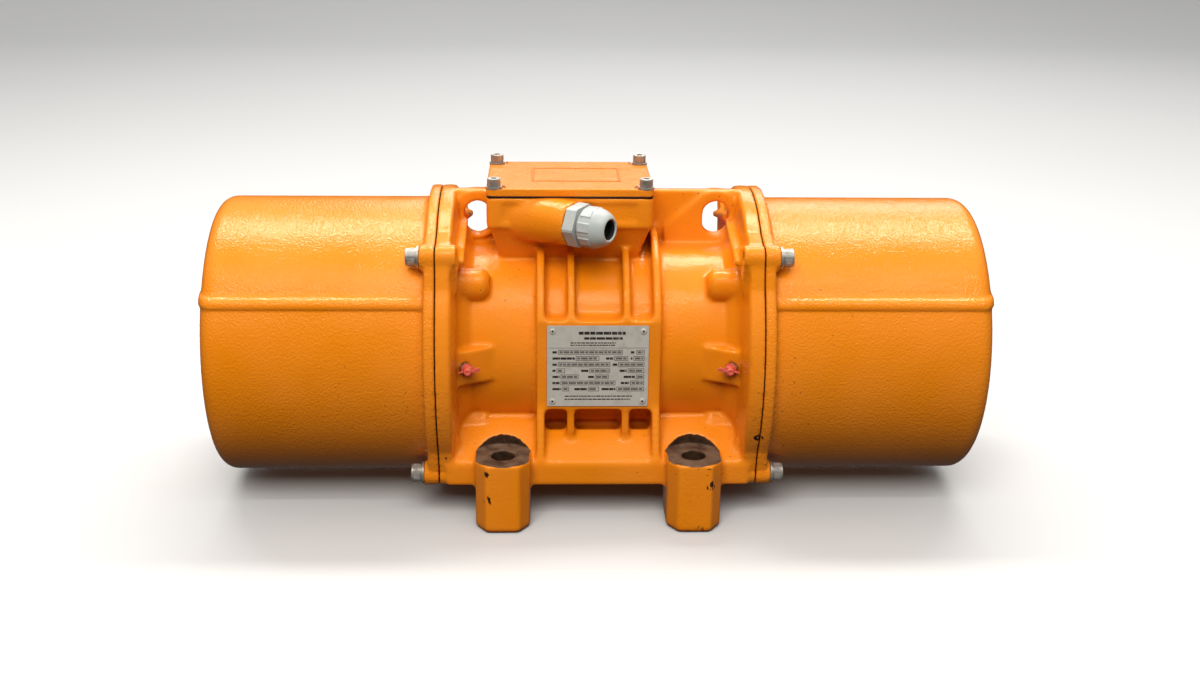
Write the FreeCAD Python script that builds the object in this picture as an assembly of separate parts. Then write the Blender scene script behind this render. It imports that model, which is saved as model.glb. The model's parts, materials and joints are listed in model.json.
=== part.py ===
import FreeCAD, Part
import math
import os

# Vibration motor: a foot-mounted electric motor whose shaft carries eccentric weights at both ends.
# Millimetres. X runs along the shaft, +Z is up, and the origin is the centre of the four foot bolts
# on the mounting plane.

V = FreeCAD.Vector

# ---------------------------------------------------------------- mounting feet
FOOT_PITCH_X = 140.0
FOOT_PITCH_Y = 190.0
FOOT_HOLE_D = 17.0
FOOT_WIDTH = 40.0
FOOT_TOE = 22.0
FOOT_HEEL = 28.0
FOOT_CORNER_X = 8.0
FOOT_CORNER_Y = 12.0
FOOT_EDGE = 2.0
FOOT_SEAT_Z = 53.0
FOOT_SEAT_D = 43.0
FOOT_TOOL_CLEAR = 25.0

# ---------------------------------------------------------------- casing
AXIS_Z = 117.0
BARREL_R = 74.0
BARREL_BORE_R = 65.0
CASING_HALF = 117.0
RIM_R = 114.0
RIM_LENGTH = 11.0
RIM_WALL = 15.0
BELL_LENGTH = 9.0
BELL_COVE = 10.0
RIM_EDGE = 1.5
LUG_CIRCLE_R = 117.0
LUG_R = 9.0
LUG_FLARE = 20.0
LUG_ANGLES = (45.0, 135.0, 225.0, 315.0)
STRAP_WIDTH = 5.0
STRAP_REACH = 12.0

PAD_Y = 80.0
RIB_R = 87.0
BLOCK_WIDTH = 91.0
OUTER_RIB_WIDTH = 6.0
INNER_RIB_X = 20.3
INNER_RIB_WIDTH = 5.4
RIB_FILLET = 4.0
RIB_FOOT_INSET = 2.0

WEB_Y = 94.0
WEB_TOP_Z = 46.0
WEB_BOTTOM_Z = 28.0
WEB_WALL = 11.0
SADDLE_Y = 57.0
SADDLE_Z = 72.2
SADDLE_ROOT_Y = 40.0
POCKET_Y = 68.0
POCKET_FLOOR_Z = 58.0

SHIELD_BOSS_CIRCLE_R = 77.0
SHIELD_BOSS_R = 12.0
SHIELD_BOSS_INSET = 37.0

GREASE_PAD_INSET = 40.5
GREASE_PAD_RISE = 14.0
GREASE_PAD_HEIGHT = 26.0
NIPPLE_INSET = 20.0

EYE_INSET = 27.0
EYE_PLATE = 14.0
EYE_WEB = 8.0
EYE_WIDTH = 20.0
EYE_HEIGHT = 26.0
EYE_LAND = 8.4
EYE_WEB_REACH = 51.0
EYE_WEB_DROP = 28.0
EYE_EDGE = 2.0

# ---------------------------------------------------------------- terminal box
BOX_X = -21.0
BOX_LENGTH = 122.0
BOX_WIDTH = 97.0
BOX_BOTTOM_Z = 212.0
BOX_TOP_Z = 235.0
BOX_WALL = 7.0
BOX_CORNER = 5.0
BOX_FLOOR_Z = 199.0
BOX_PANEL_DEPTH = 1.5
BOX_PANEL_MARGIN_X = 11.0
BOX_PANEL_MARGIN_Z = 4.0
NECK_INSET = 2.0
NECK_TAPER_X = 12.0
NECK_TAPER_Y = 21.0
NECK_DEPTH = 34.0
GASKET_T = 1.0
LID_T = 5.5
LID_EDGE = 1.2
LID_FRAME_LENGTH = 66.0
LID_FRAME_WIDTH = 46.0
LID_FRAME_LINE = 1.4
LID_FRAME_HEIGHT = 0.5
LID_FRAME_X = -16.0
LID_SCREW_INSET = 5.6
LID_SCREW_D = 6.0
LID_SCREW_LENGTH = 20.0
LID_SCREW_POST_R = 7.0
LID_SEAT_R = 8.5
LID_SEAT_DEPTH = 0.8
WIRE_HOLE_D = 10.0
WIRE_HOLE_X = -56.5

# ---------------------------------------------------------------- cable gland
GLAND_TURN = 55.0
GLAND_BASE_X = -18.3
GLAND_BASE_Y = -58.0
GLAND_Z = 218.0
GLAND_BOSS_R = 16.0
GLAND_BOSS_ROOT_R = 19.0
GLAND_BOSS_LENGTH = 46.0
GLAND_THREAD_R = 12.5
GLAND_THREAD_LENGTH = 12.0
GLAND_HEX = 29.0
GLAND_HEX_LENGTH = 9.0
GLAND_HEX_CORNER_R = 16.2
GLAND_NECK_R = 11.0
GLAND_NECK_LENGTH = 16.0
GLAND_NUT_GAP = 1.5
GLAND_NUT_R = 15.0
GLAND_NUT_HEX_LENGTH = 11.0
GLAND_NUT_DOME = 10.0
GLAND_MOUTH_R = 10.0
GLAND_OPENING_R = 7.0
GLAND_SEAL_R = 9.0
GLAND_SEAL_BORE_R = 6.5
GLAND_FIT = 0.05
GLAND_SEAT_CLEAR = 0.3

# ---------------------------------------------------------------- weight covers
COVER_HALF = 284.5
COVER_R = 105.0
COVER_WALL = 4.5
COVER_FLANGE = 8.3
COVER_LUG_SEAT = 3.2
COVER_CORNER = 11.0
BEAD_ANGLE = 30.0
BEAD_WIDTH = 4.0
BEAD_PROUD = 1.5
SEAL_R = 106.0
SEAL_WIDTH = 4.0
SEAL_T = 3.0

# ---------------------------------------------------------------- rotor and shaft
CORE_HALF = 50.0
STATOR_BORE_R = 40.5
STATOR_SLOTS = 24
STATOR_SLOT_DEPTH = 12.0
STATOR_SLOT_WIDTH = 5.0
COIL_END_LENGTH = 24.0
COIL_END_WALL = 14.0
ROTOR_R = 40.0
ROTOR_RING_LENGTH = 10.0
ROTOR_RING_WALL = 14.0
ROTOR_RING_STEP = 1.0
SHAFT_CORE_R = 22.0
SHAFT_SHOULDER_R = 20.5
SHAFT_CORE_HALF = 66.0
SHAFT_BEARING_R = 17.5
SHAFT_WEIGHT_R = 16.0
SHAFT_TAIL = 10.4
SHAFT_CHAMFER = 1.5

# ---------------------------------------------------------------- bearings and shields
BEARING_INSET = 25.0
BEARING_WIDTH = 21.0
BEARING_R = 40.0
INNER_RACE_R = 23.1
OUTER_RACE_R = 34.1
RACE_LIP = 2.4
RACE_LIP_WIDTH = 3.2
ROLLER_COUNT = 12
ROLLER_CLEAR = 0.05
CAGE_RING_WIDTH = 2.0
CAGE_RING_WALL = 4.0
CAGE_BAR_R = 1.5
CAGE_CLEAR = 0.4
SHIELD_R = 92.0
SHIELD_FLANGE = 8.0
SHIELD_SPIGOT = 9.0
SHIELD_HUB_R = 51.0
SHIELD_WEB_INSET = 20.0
SHIELD_HUB_PROUD = 1.0
SHIELD_LIP_INSET = 31.0
SHIELD_LIP_CLEAR = 0.6
SHIELD_FIT = 0.05
SHIELD_SCREW_D = 8.0
SHIELD_SCREW_LENGTH = 20.0
CAP_T = 6.0
CAP_CLEAR = 0.5
CAP_SCREW_D = 5.0
CAP_SCREW_LENGTH = 16.0
CAP_SCREW_CIRCLE_R = 45.5
SPACER_LENGTH = 14.5
SPACER_R = 25.0

# ---------------------------------------------------------------- eccentric weights
WEIGHT_R = 90.0
WEIGHT_HUB_R = 31.0
WEIGHT_T = 44.0
WEIGHT_SWEEP = 164.0
WEIGHT_EAR_WIDTH = 44.0
WEIGHT_EAR_HEIGHT = 44.0
WEIGHT_SLIT = 4.0
WEIGHT_RUN_CLEAR = 0.03
WEIGHT_BOLT_D = 10.0
WEIGHT_BOLT_Z = 30.0
WEIGHT_BOLT_SINK = 6.0
SCALE_DISC_T = 2.0
SCALE_DISC_R = 58.0
SCALE_MARKS = 20
SCALE_MARK_DEPTH = 3.0
SCALE_MARK_WIDTH = 1.2
DISC_CLEAR = 0.05
KEY_WIDTH = 10.0
KEY_HEIGHT = 8.0
KEY_LENGTH = 36.0
KEY_DEPTH = 5.0
KEY_END_R = 4.9
CIRCLIP_T = 2.0
CIRCLIP_GROOVE = 1.5
CIRCLIP_PROUD = 3.0
CIRCLIP_GAP = 10.0

# ---------------------------------------------------------------- nameplate and small parts
PLATE_LENGTH = 74.0
PLATE_HEIGHT = 62.0
PLATE_T = 0.8
PLATE_X = -0.8
RIVET_INSET = 4.0
RIVET_HEAD_R = 2.2
RIVET_HEAD_H = 1.0
RIVET_HEAD_ROUND = 0.8
RIVET_SHANK_R = 1.1
RIVET_DEPTH = 4.0
NIPPLE_THREAD_R = 3.0
NIPPLE_THREAD_LENGTH = 5.0
NIPPLE_HEX = 8.0
NIPPLE_HEX_LENGTH = 2.5
NIPPLE_NECK_R = 1.8
NIPPLE_NECK_LENGTH = 1.6
NIPPLE_BALL_R = 2.9
NIPPLE_BALL_RISE = 2.3
CAP_RUBBER_WALL = 0.9
CAP_RUBBER_LENGTH = 6.0
CAP_COLLAR_R = 4.6
GREASE_DUCT_D = 4.0
BOARD_LENGTH = 62.0
BOARD_WIDTH = 46.0
BOARD_T = 9.0
BOARD_RIDGE = 2.4
STUD_D = 5.0
STUD_HEIGHT = 14.0
STUD_PITCH_X = 18.0
STUD_PITCH_Y = 22.0
STUD_NUT_AF = 8.0
STUD_NUT_H = 4.0
LINK_T = 1.2
LINK_MARGIN = 5.0
EARTH_SCREW_D = 5.0
EARTH_SCREW_LENGTH = 10.0
EARTH_SCREW_X = 15.5

# ---------------------------------------------------------------- fasteners in general
COVER_SCREW_D = 8.0
COVER_SCREW_LENGTH = 25.0
WASHER_T = 1.6
HEAD_RATIO = 1.6
WASHER_RATIO = 2.0
SOCKET_RATIO = 0.75
SOCKET_DEPTH_RATIO = 0.5
HOLE_CLEAR = 0.5


# ================================================================ helpers
def rod_x(radius, x_start, x_end, y=0.0, z=AXIS_Z):
    """Cylinder along the shaft direction."""
    return Part.makeCylinder(radius, x_end - x_start, V(x_start, y, z), V(1, 0, 0))


def tube_x(outer_r, inner_r, x_start, x_end):
    """Plain ring about the shaft axis."""
    return rod_x(outer_r, x_start, x_end).cut(rod_x(inner_r, x_start, x_end))


def slab(x_span, y_span, z_span):
    """Box from three (low, high) spans."""
    lengths = [span[1] - span[0] for span in (x_span, y_span, z_span)]
    return Part.makeBox(*lengths, V(x_span[0], y_span[0], z_span[0]))


def outline(points):
    """Closed flat face through the points."""
    return Part.Face(Part.makePolygon(points + points[:1]))


def prism_x(points, x_start, x_end):
    """Extrusion along X of a (y, z) outline."""
    return outline([V(x_start, y, z) for y, z in points]).extrude(V(x_end - x_start, 0, 0))


def prism_y(points, y_start, y_end):
    """Extrusion along Y of an (x, z) outline."""
    return outline([V(x, y_start, z) for x, z in points]).extrude(V(0, y_end - y_start, 0))


def prism_z(points, z_start, z_end):
    """Extrusion along Z of an (x, y) outline."""
    return outline([V(x, y, z_start) for x, y in points]).extrude(V(0, 0, z_end - z_start))


def turned(profile):
    """Solid of revolution about the shaft axis from (x, radius) points."""
    face = outline([V(x, 0, AXIS_Z + r) for x, r in profile])
    return face.revolve(V(0, 0, AXIS_Z), V(1, 0, 0), 360)


def turned_soft(profile):
    """Solid of revolution from (x, radius, corner radius) points, its corners rounded in the profile."""
    points = [V(x, 0, AXIS_Z + r) for x, r, _ in profile]
    edges = []
    start = points[-1]
    for index, (_, _, corner) in enumerate(profile):
        point = points[index]
        to_last = points[index - 1].sub(point).normalize()
        to_next = points[(index + 1) % len(points)].sub(point).normalize()
        if corner == 0:
            edges.append(Part.makeLine(start, point))
            start = point
            continue
        half_turn = to_last.getAngle(to_next) / 2
        reach = corner / math.tan(half_turn)
        middle = to_last.add(to_next).normalize().multiply(corner / math.sin(half_turn) - corner).add(point)
        arc_start = V(to_last).multiply(reach).add(point)
        arc_end = V(to_next).multiply(reach).add(point)
        edges.append(Part.makeLine(start, arc_start))
        edges.append(Part.Arc(arc_start, middle, arc_end).toShape())
        start = arc_end
    face = Part.Face(Part.Wire(edges))
    return face.revolve(V(0, 0, AXIS_Z), V(1, 0, 0), 360)


def union(shapes):
    """One solid out of several overlapping ones."""
    return shapes[0].fuse(shapes[1:]).removeSplitter()


def group(shapes):
    """Separate solids kept together in one node."""
    return Part.makeCompound(shapes)


def across_x(shape):
    """Mirror image on the other side of X = 0."""
    return shape.mirror(V(0, 0, 0), V(1, 0, 0))


def across_y(shape):
    """Mirror image on the other side of Y = 0."""
    return shape.mirror(V(0, 0, 0), V(0, 1, 0))


def both_ends(shape):
    return [shape, across_x(shape)]


def front_and_back(shape):
    return [shape, across_y(shape)]


def polar(radius, angle):
    """(y, z) of a point about the shaft axis, the angle rising from +Y."""
    turn = math.radians(angle)
    return radius * math.cos(turn), AXIS_Z + radius * math.sin(turn)


def placed(shape, point, axis):
    """Move a shape made along +Z at the origin so that +Z becomes the axis."""
    moved = shape.copy()
    moved.Placement = FreeCAD.Placement(point, FreeCAD.Rotation(V(0, 0, 1), axis))
    return moved


def softened(shape, radius, wanted):
    """Round the edges that the test picks."""
    return shape.makeFillet(radius, [edge for edge in shape.Edges if wanted(edge)])


def runs_along(axis):
    """Test for straight edges parallel to an axis."""
    def test(edge):
        if len(edge.Vertexes) != 2:
            return False
        run = edge.Vertexes[1].Point.sub(edge.Vertexes[0].Point)
        return run.Length > 0 and abs(abs(run.normalize().dot(axis)) - 1) < 1e-6
    return test


def at_height(z):
    """Test for edges that lie wholly at one height."""
    return lambda edge: abs(edge.BoundBox.ZMin - z) < 1e-6 and abs(edge.BoundBox.ZMax - z) < 1e-6


def export(name, shape):
    """Write one node."""
    shape.exportStep("parts/" + name + ".step")
    print(name, len(shape.Solids), round(shape.Volume / 1000.0, 2), shape.isValid())


def hexagon(across_flats, length):
    """Hexagonal bar along +Z."""
    corner = across_flats / math.sqrt(3)
    points = [(corner * math.cos(math.radians(60 * i)), corner * math.sin(math.radians(60 * i)))
              for i in range(6)]
    return prism_z(points, 0, length)


def cap_screw(diameter, length):
    """Socket head screw: seat plane at the origin, head up, shank down."""
    head_r = diameter * HEAD_RATIO / 2
    head = Part.makeCylinder(head_r, diameter)
    head = softened(head, diameter / 12, at_height(diameter))
    socket = hexagon(diameter * SOCKET_RATIO, diameter)
    head = head.cut(socket.translated(V(0, 0, diameter * (1 - SOCKET_DEPTH_RATIO))))
    shank = Part.makeCylinder(diameter / 2, length, V(0, 0, -length))
    return union([head, shank])


def washer(diameter):
    """Plain washer lying on its seat plane at the origin."""
    ring = Part.makeCylinder(diameter * WASHER_RATIO / 2, WASHER_T)
    return ring.cut(Part.makeCylinder(diameter / 2 + HOLE_CLEAR / 2, WASHER_T))


# ================================================================ positions that several pieces share
FOOT_SPOTS = [(side_x * FOOT_PITCH_X / 2, side_y * FOOT_PITCH_Y / 2)
              for side_x in (-1, 1) for side_y in (-1, 1)]
BOX_X_SPAN = (BOX_X - BOX_LENGTH / 2, BOX_X + BOX_LENGTH / 2)
BOX_Y_SPAN = (-BOX_WIDTH / 2, BOX_WIDTH / 2)
LID_BOTTOM_Z = BOX_TOP_Z + GASKET_T
LID_TOP_Z = LID_BOTTOM_Z + LID_T
LID_SCREW_SPOTS = [(BOX_X + side_x * (BOX_LENGTH / 2 - LID_SCREW_INSET),
                    side_y * (BOX_WIDTH / 2 - LID_SCREW_INSET))
                   for side_x in (-1, 1) for side_y in (-1, 1)]
PAD_REACH_Z = math.sqrt(RIB_R ** 2 - PAD_Y ** 2)
COVER_BORE_R = COVER_R - COVER_WALL
LUG_SEAT_X = CASING_HALF + COVER_FLANGE + COVER_LUG_SEAT
GLAND_AXIS = V(math.sin(math.radians(GLAND_TURN)), -math.cos(math.radians(GLAND_TURN)), 0)
GLAND_BASE = V(GLAND_BASE_X, GLAND_BASE_Y, GLAND_Z)
SHIELD_BOSS_X = CASING_HALF - SHIELD_BOSS_INSET
GREASE_PAD_X = CASING_HALF - GREASE_PAD_INSET
NIPPLE_X = CASING_HALF - NIPPLE_INSET
EYE_X = CASING_HALF - EYE_INSET
SHIELD_WEB_X = CASING_HALF - SHIELD_WEB_INSET
SHIELD_LIP_X = CASING_HALF - SHIELD_LIP_INSET
BEARING_X = CASING_HALF - BEARING_INSET
SHIELD_SEAT_X = CASING_HALF - SHIELD_FLANGE
BEARING_END_X = BEARING_X + BEARING_WIDTH
SPACER_END_X = BEARING_END_X + SPACER_LENGTH
DISC_X = SPACER_END_X + WEIGHT_T
ADJUST_X = DISC_X + SCALE_DISC_T + DISC_CLEAR
ADJUST_END_X = ADJUST_X + WEIGHT_T
CIRCLIP_X = ADJUST_END_X + DISC_CLEAR
SHAFT_HALF = CIRCLIP_X + SHAFT_TAIL
ROLLER_R = (OUTER_RACE_R - INNER_RACE_R) / 2
ROLLER_PITCH_R = (OUTER_RACE_R + INNER_RACE_R) / 2
EYE_ARC_Z = AXIS_Z + RIM_R - EYE_LAND - EYE_WIDTH / 2
EYE_LOW_Z = EYE_ARC_Z - (EYE_HEIGHT - EYE_WIDTH)


# ================================================================ casing
def flange_lugs(x_start, x_end, flare_end):
    """Four bolt lugs on a flange, each blended into the rim by a flare."""
    lugs = []
    for angle in LUG_ANGLES:
        y, z = polar(LUG_CIRCLE_R, angle)
        lugs.append(rod_x(LUG_R, x_start, x_end, y, z))
        out_y, out_z = math.cos(math.radians(angle)), math.sin(math.radians(angle))
        root_y, root_z = polar(LUG_CIRCLE_R - LUG_FLARE, angle)
        flare = [(y - out_z * LUG_R, z + out_y * LUG_R),
                 (y + out_z * LUG_R, z - out_y * LUG_R),
                 (root_y + out_z * LUG_FLARE, root_z - out_y * LUG_FLARE),
                 (root_y - out_z * LUG_FLARE, root_z + out_y * LUG_FLARE)]
        lugs.append(prism_x(flare, x_start, flare_end))
    return lugs


def end_bell():
    """Right-hand flare of the barrel into its flange."""
    rim_x = CASING_HALF - RIM_LENGTH
    wall_x = CASING_HALF - RIM_WALL
    return turned_soft([(0, 0, 0), (0, BARREL_R, 0), (wall_x - BELL_LENGTH, BARREL_R, 0),
                        (wall_x, BARREL_R + BELL_LENGTH, BELL_COVE), (rim_x, RIM_R - RIM_EDGE, 0),
                        (rim_x + RIM_EDGE, RIM_R, 0), (CASING_HALF, RIM_R, 0), (CASING_HALF, 0, 0)])


def on_ring(edge, x, radius):
    """Tell whether an edge is the circle of that radius about the shaft at x."""
    box = edge.BoundBox
    return abs(box.XMin - x) < 1e-4 and abs(box.XMax - x) < 1e-4 and abs(box.ZMax - AXIS_Z - radius) < 1e-4


def centre_block():
    """Ribbed block round the middle of the barrel, with a flat pad at the front and at the back."""
    half = BLOCK_WIDTH / 2
    block = rod_x(RIB_R, -half, half).common(slab((-half, half), (-PAD_Y, PAD_Y), (0, 2 * AXIS_Z)))
    inner_left = INNER_RIB_X - INNER_RIB_WIDTH / 2
    inner_right = INNER_RIB_X + INNER_RIB_WIDTH / 2
    pockets = [(-half + OUTER_RIB_WIDTH, -inner_right), (-inner_left, inner_left),
               (inner_right, half - OUTER_RIB_WIDTH)]
    cuts = []
    for x_span in pockets:
        for z_span in ((AXIS_Z + PAD_REACH_Z, 2 * AXIS_Z), (0, AXIS_Z - PAD_REACH_Z)):
            pocket = slab(x_span, (-RIB_R, RIB_R), z_span)
            cuts.append(softened(pocket, RIB_FILLET, runs_along(V(0, 1, 0))))
    return block.cut(cuts)


def saddle(face_y):
    """Sloping wall and upright web that carry the feet, on the face_y side (-1 front, +1 back)."""
    slope = (WEB_TOP_Z - SADDLE_Z) / (WEB_Y - SADDLE_Y)
    inner_y = WEB_Y - WEB_WALL
    points = [(SADDLE_ROOT_Y, SADDLE_Z), (SADDLE_Y, SADDLE_Z), (WEB_Y, WEB_TOP_Z), (WEB_Y, WEB_BOTTOM_Z),
              (inner_y, WEB_BOTTOM_Z), (inner_y, WEB_TOP_Z + slope * -WEB_WALL - WEB_WALL),
              (SADDLE_ROOT_Y, SADDLE_Z - WEB_WALL)]
    reach = CASING_HALF - RIM_LENGTH / 2
    wall = prism_x([(face_y * y, z) for y, z in points], -reach, reach)
    return softened(wall, RIB_FILLET, lambda edge: runs_along(V(1, 0, 0))(edge)
                    and abs(abs(edge.CenterOfMass.y) - WEB_Y) < 1e-6
                    and abs(edge.CenterOfMass.z - WEB_TOP_Z) < 1e-6)


def rib_feet(face_y):
    """Lower ends of the ribs, running from the pad on to the sloping wall."""
    low_z = AXIS_Z - PAD_REACH_Z
    half = BLOCK_WIDTH / 2
    merge_y = PAD_Y - RIB_FOOT_INSET
    merge_z = WEB_TOP_Z + (WEB_Y - merge_y) * (SADDLE_Z - WEB_TOP_Z) / (WEB_Y - SADDLE_Y)
    inner = [(PAD_Y, low_z + RIB_FILLET), (merge_y, merge_z), (SADDLE_ROOT_Y, merge_z),
             (SADDLE_ROOT_Y, low_z + RIB_FILLET)]
    outer = [(PAD_Y, low_z + RIB_FILLET), (WEB_Y, WEB_TOP_Z), (WEB_Y, WEB_BOTTOM_Z),
             (SADDLE_ROOT_Y, WEB_BOTTOM_Z + WEB_WALL), (SADDLE_ROOT_Y, low_z + RIB_FILLET)]
    feet = []
    for side in (-1, 1):
        middle = side * INNER_RIB_X
        feet.append(prism_x([(face_y * y, z) for y, z in inner],
                            middle - INNER_RIB_WIDTH / 2, middle + INNER_RIB_WIDTH / 2))
        edge = side * (half - OUTER_RIB_WIDTH / 2)
        feet.append(prism_x([(face_y * y, z) for y, z in outer],
                            edge - OUTER_RIB_WIDTH / 2, edge + OUTER_RIB_WIDTH / 2))
    return feet


def foot(x, y):
    """Post that stands on the mounting plane, its outer corners cut off in plan."""
    side = math.copysign(1.0, y)
    half = FOOT_WIDTH / 2
    plan = [(x - half, y - side * FOOT_HEEL), (x + half, y - side * FOOT_HEEL),
            (x + half, y + side * (FOOT_TOE - FOOT_CORNER_Y)),
            (x + half - FOOT_CORNER_X, y + side * FOOT_TOE),
            (x - half + FOOT_CORNER_X, y + side * FOOT_TOE),
            (x - half, y + side * (FOOT_TOE - FOOT_CORNER_Y))]
    post = prism_z(plan, 0, FOOT_SEAT_Z)
    post = softened(post, RIB_FILLET, lambda edge: runs_along(V(0, 0, 1))(edge)
                    and abs(edge.CenterOfMass.y) < abs(y))
    return post.makeChamfer(FOOT_EDGE, [edge for edge in post.Edges if at_height(0.0)(edge)])


def shield_bosses():
    """Rounded bosses behind the flange that take the bearing shield's screws."""
    end_x = CASING_HALF - RIM_LENGTH
    bosses = []
    for angle in LUG_ANGLES:
        y, z = polar(SHIELD_BOSS_CIRCLE_R, angle)
        boss = rod_x(SHIELD_BOSS_R, SHIELD_BOSS_X, end_x, y, z)
        boss = boss.makeChamfer(SHIELD_BOSS_R / 3, [edge for edge in boss.Edges
                                                    if edge.BoundBox.XMax < SHIELD_BOSS_X + 1e-6])
        bosses.extend(both_ends(boss))
    return bosses


def grease_pad():
    """Right-hand wedge on the front of the barrel whose flat takes the grease nipple."""
    end_x = CASING_HALF - RIM_WALL
    slope = GREASE_PAD_RISE / (end_x - GREASE_PAD_X)
    far_x = CASING_HALF - RIM_LENGTH
    far_y = -BARREL_R - slope * (far_x - GREASE_PAD_X)
    plan = [(GREASE_PAD_X, -BARREL_R), (far_x, far_y), (far_x, -BARREL_BORE_R), (GREASE_PAD_X, -BARREL_BORE_R)]
    return prism_z(plan, AXIS_Z - GREASE_PAD_HEIGHT / 2, AXIS_Z + GREASE_PAD_HEIGHT / 2)


def eye_plate(side, inner_x):
    """Lifting eye between the terminal box and a flange: a thick eye land and a thinner web."""
    rim_x = side * (CASING_HALF - RIM_LENGTH)
    eye_x = side * EYE_X
    land_r = EYE_WIDTH / 2 + EYE_LAND
    top_z = EYE_ARC_Z + land_r
    base_z = AXIS_Z + BARREL_BORE_R + EYE_LAND
    reach_x = side * EYE_WEB_REACH
    thick = prism_y([(eye_x, top_z), (eye_x - side * land_r / 2, top_z - EYE_EDGE),
                     (reach_x, top_z - EYE_WEB_DROP),
                     (reach_x, base_z), (rim_x, base_z), (rim_x, EYE_ARC_Z)],
                    -EYE_PLATE / 2, EYE_PLATE / 2)
    land = Part.makeCylinder(land_r, EYE_PLATE, V(eye_x, -EYE_PLATE / 2, EYE_ARC_Z), V(0, 1, 0))
    thin = prism_y([(inner_x, top_z), (rim_x, top_z), (rim_x, base_z), (inner_x, base_z)],
                   -EYE_WEB / 2, EYE_WEB / 2)
    return [thick, land, thin]


def eye_hole(side):
    """Oblong hole right through a lifting eye."""
    radius = EYE_WIDTH / 2
    ends = [Part.makeCylinder(radius, EYE_PLATE, V(side * EYE_X, -EYE_PLATE / 2, z), V(0, 1, 0))
            for z in (EYE_ARC_Z, EYE_LOW_Z)]
    middle = slab((side * EYE_X - radius, side * EYE_X + radius), (-EYE_PLATE / 2, EYE_PLATE / 2),
                  (EYE_LOW_Z, EYE_ARC_Z))
    return union(ends + [middle])


def lug_straps():
    """Narrow ribs on the flange's back from the lifting eye down to the upper bolt lugs."""
    lug_y, lug_z = polar(LUG_CIRCLE_R - LUG_R, LUG_ANGLES[0])
    start_z = EYE_LOW_Z
    strap = prism_x([(0, start_z), (0, start_z + STRAP_WIDTH), (lug_y, lug_z + STRAP_WIDTH / 2),
                     (lug_y, lug_z - STRAP_WIDTH / 2)],
                    CASING_HALF - RIM_WALL - STRAP_WIDTH, CASING_HALF - RIM_LENGTH)
    return [copy for half in front_and_back(strap) for copy in both_ends(half)]


def tapered_block(low, high, low_z, high_z):
    """Loft between two centred rectangles given as (x span, y span)."""
    wires = []
    for (x_span, y_span), z in ((low, low_z), (high, high_z)):
        corners = [V(x_span[0], y_span[0], z), V(x_span[1], y_span[0], z),
                   V(x_span[1], y_span[1], z), V(x_span[0], y_span[1], z)]
        wires.append(Part.makePolygon(corners + corners[:1]))
    return Part.makeLoft(wires, True, True)


def shrunk(span, amount):
    return span[0] + amount, span[1] - amount


def terminal_box_outside():
    """Outer form of the terminal box: straight walls on a neck that tapers into the barrel."""
    body = slab(BOX_X_SPAN, BOX_Y_SPAN, (BOX_BOTTOM_Z, BOX_TOP_Z))
    body = softened(body, BOX_CORNER, runs_along(V(0, 0, 1)))
    top = (shrunk(BOX_X_SPAN, NECK_INSET), shrunk(BOX_Y_SPAN, NECK_INSET))
    foot_of_neck = (shrunk(BOX_X_SPAN, NECK_TAPER_X), shrunk(BOX_Y_SPAN, NECK_TAPER_Y))
    neck = tapered_block(foot_of_neck, top, BOX_BOTTOM_Z - NECK_DEPTH, BOX_BOTTOM_Z)
    panel = slab(shrunk(BOX_X_SPAN, BOX_PANEL_MARGIN_X),
                 (BOX_Y_SPAN[0], BOX_Y_SPAN[0] + BOX_PANEL_DEPTH),
                 (BOX_BOTTOM_Z + BOX_PANEL_MARGIN_Z, BOX_TOP_Z - BOX_PANEL_MARGIN_Z))
    panel = softened(panel, BOX_CORNER / 2, runs_along(V(0, 1, 0)))
    return [body.cut([panel, across_y(panel)]), neck]


def gland_boss():
    """Round boss that runs out of the box at a slant to the cable gland."""
    start = GLAND_BASE.sub(V(GLAND_AXIS).multiply(GLAND_BOSS_LENGTH))
    cone = Part.makeCone(GLAND_BOSS_ROOT_R, GLAND_BOSS_R, GLAND_BOSS_LENGTH, start, GLAND_AXIS)
    inside = slab(BOX_X_SPAN, (GLAND_BASE_Y - GLAND_BOSS_ROOT_R, 0), (0, BOX_TOP_Z))
    return cone.common(inside)


def terminal_box_inside():
    """Cavity of the terminal box, its corner posts left standing."""
    floor_room = slab(shrunk(BOX_X_SPAN, BOX_WALL), shrunk(BOX_Y_SPAN, BOX_WALL), (BOX_BOTTOM_Z, BOX_TOP_Z))
    lower = tapered_block((shrunk(BOX_X_SPAN, NECK_TAPER_X + BOX_WALL), shrunk(BOX_Y_SPAN, NECK_TAPER_Y)),
                          (shrunk(BOX_X_SPAN, BOX_WALL + NECK_INSET), shrunk(BOX_Y_SPAN, BOX_WALL + NECK_INSET)),
                          BOX_FLOOR_Z, BOX_BOTTOM_Z)
    posts = [Part.makeCylinder(LID_SCREW_POST_R, LID_SCREW_LENGTH + BOX_WALL,
                               V(x, y, BOX_TOP_Z - LID_SCREW_LENGTH - BOX_WALL))
             for x, y in LID_SCREW_SPOTS]
    return floor_room.fuse(lower).cut(posts)


def casing_outside():
    """Everything of the casting before the machined and cored spaces are taken out."""
    forms = both_ends(end_bell())
    forms.append(centre_block())
    lugs = flange_lugs(CASING_HALF - RIM_WALL, CASING_HALF, CASING_HALF)
    for lug in lugs:
        forms.extend(both_ends(lug))
    for face_y in (-1, 1):
        forms.append(saddle(face_y))
        forms.extend(rib_feet(face_y))
    forms.extend(foot(x, y) for x, y in FOOT_SPOTS)
    forms.extend(shield_bosses())
    forms.extend(both_ends(grease_pad()))
    forms.extend(eye_plate(1, BOX_X_SPAN[1] - BOX_WALL))
    forms.extend(eye_plate(-1, BOX_X_SPAN[0] + BOX_WALL)[1:])
    forms.extend(lug_straps())
    forms.extend(terminal_box_outside())
    forms.append(gland_boss())
    return forms


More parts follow.
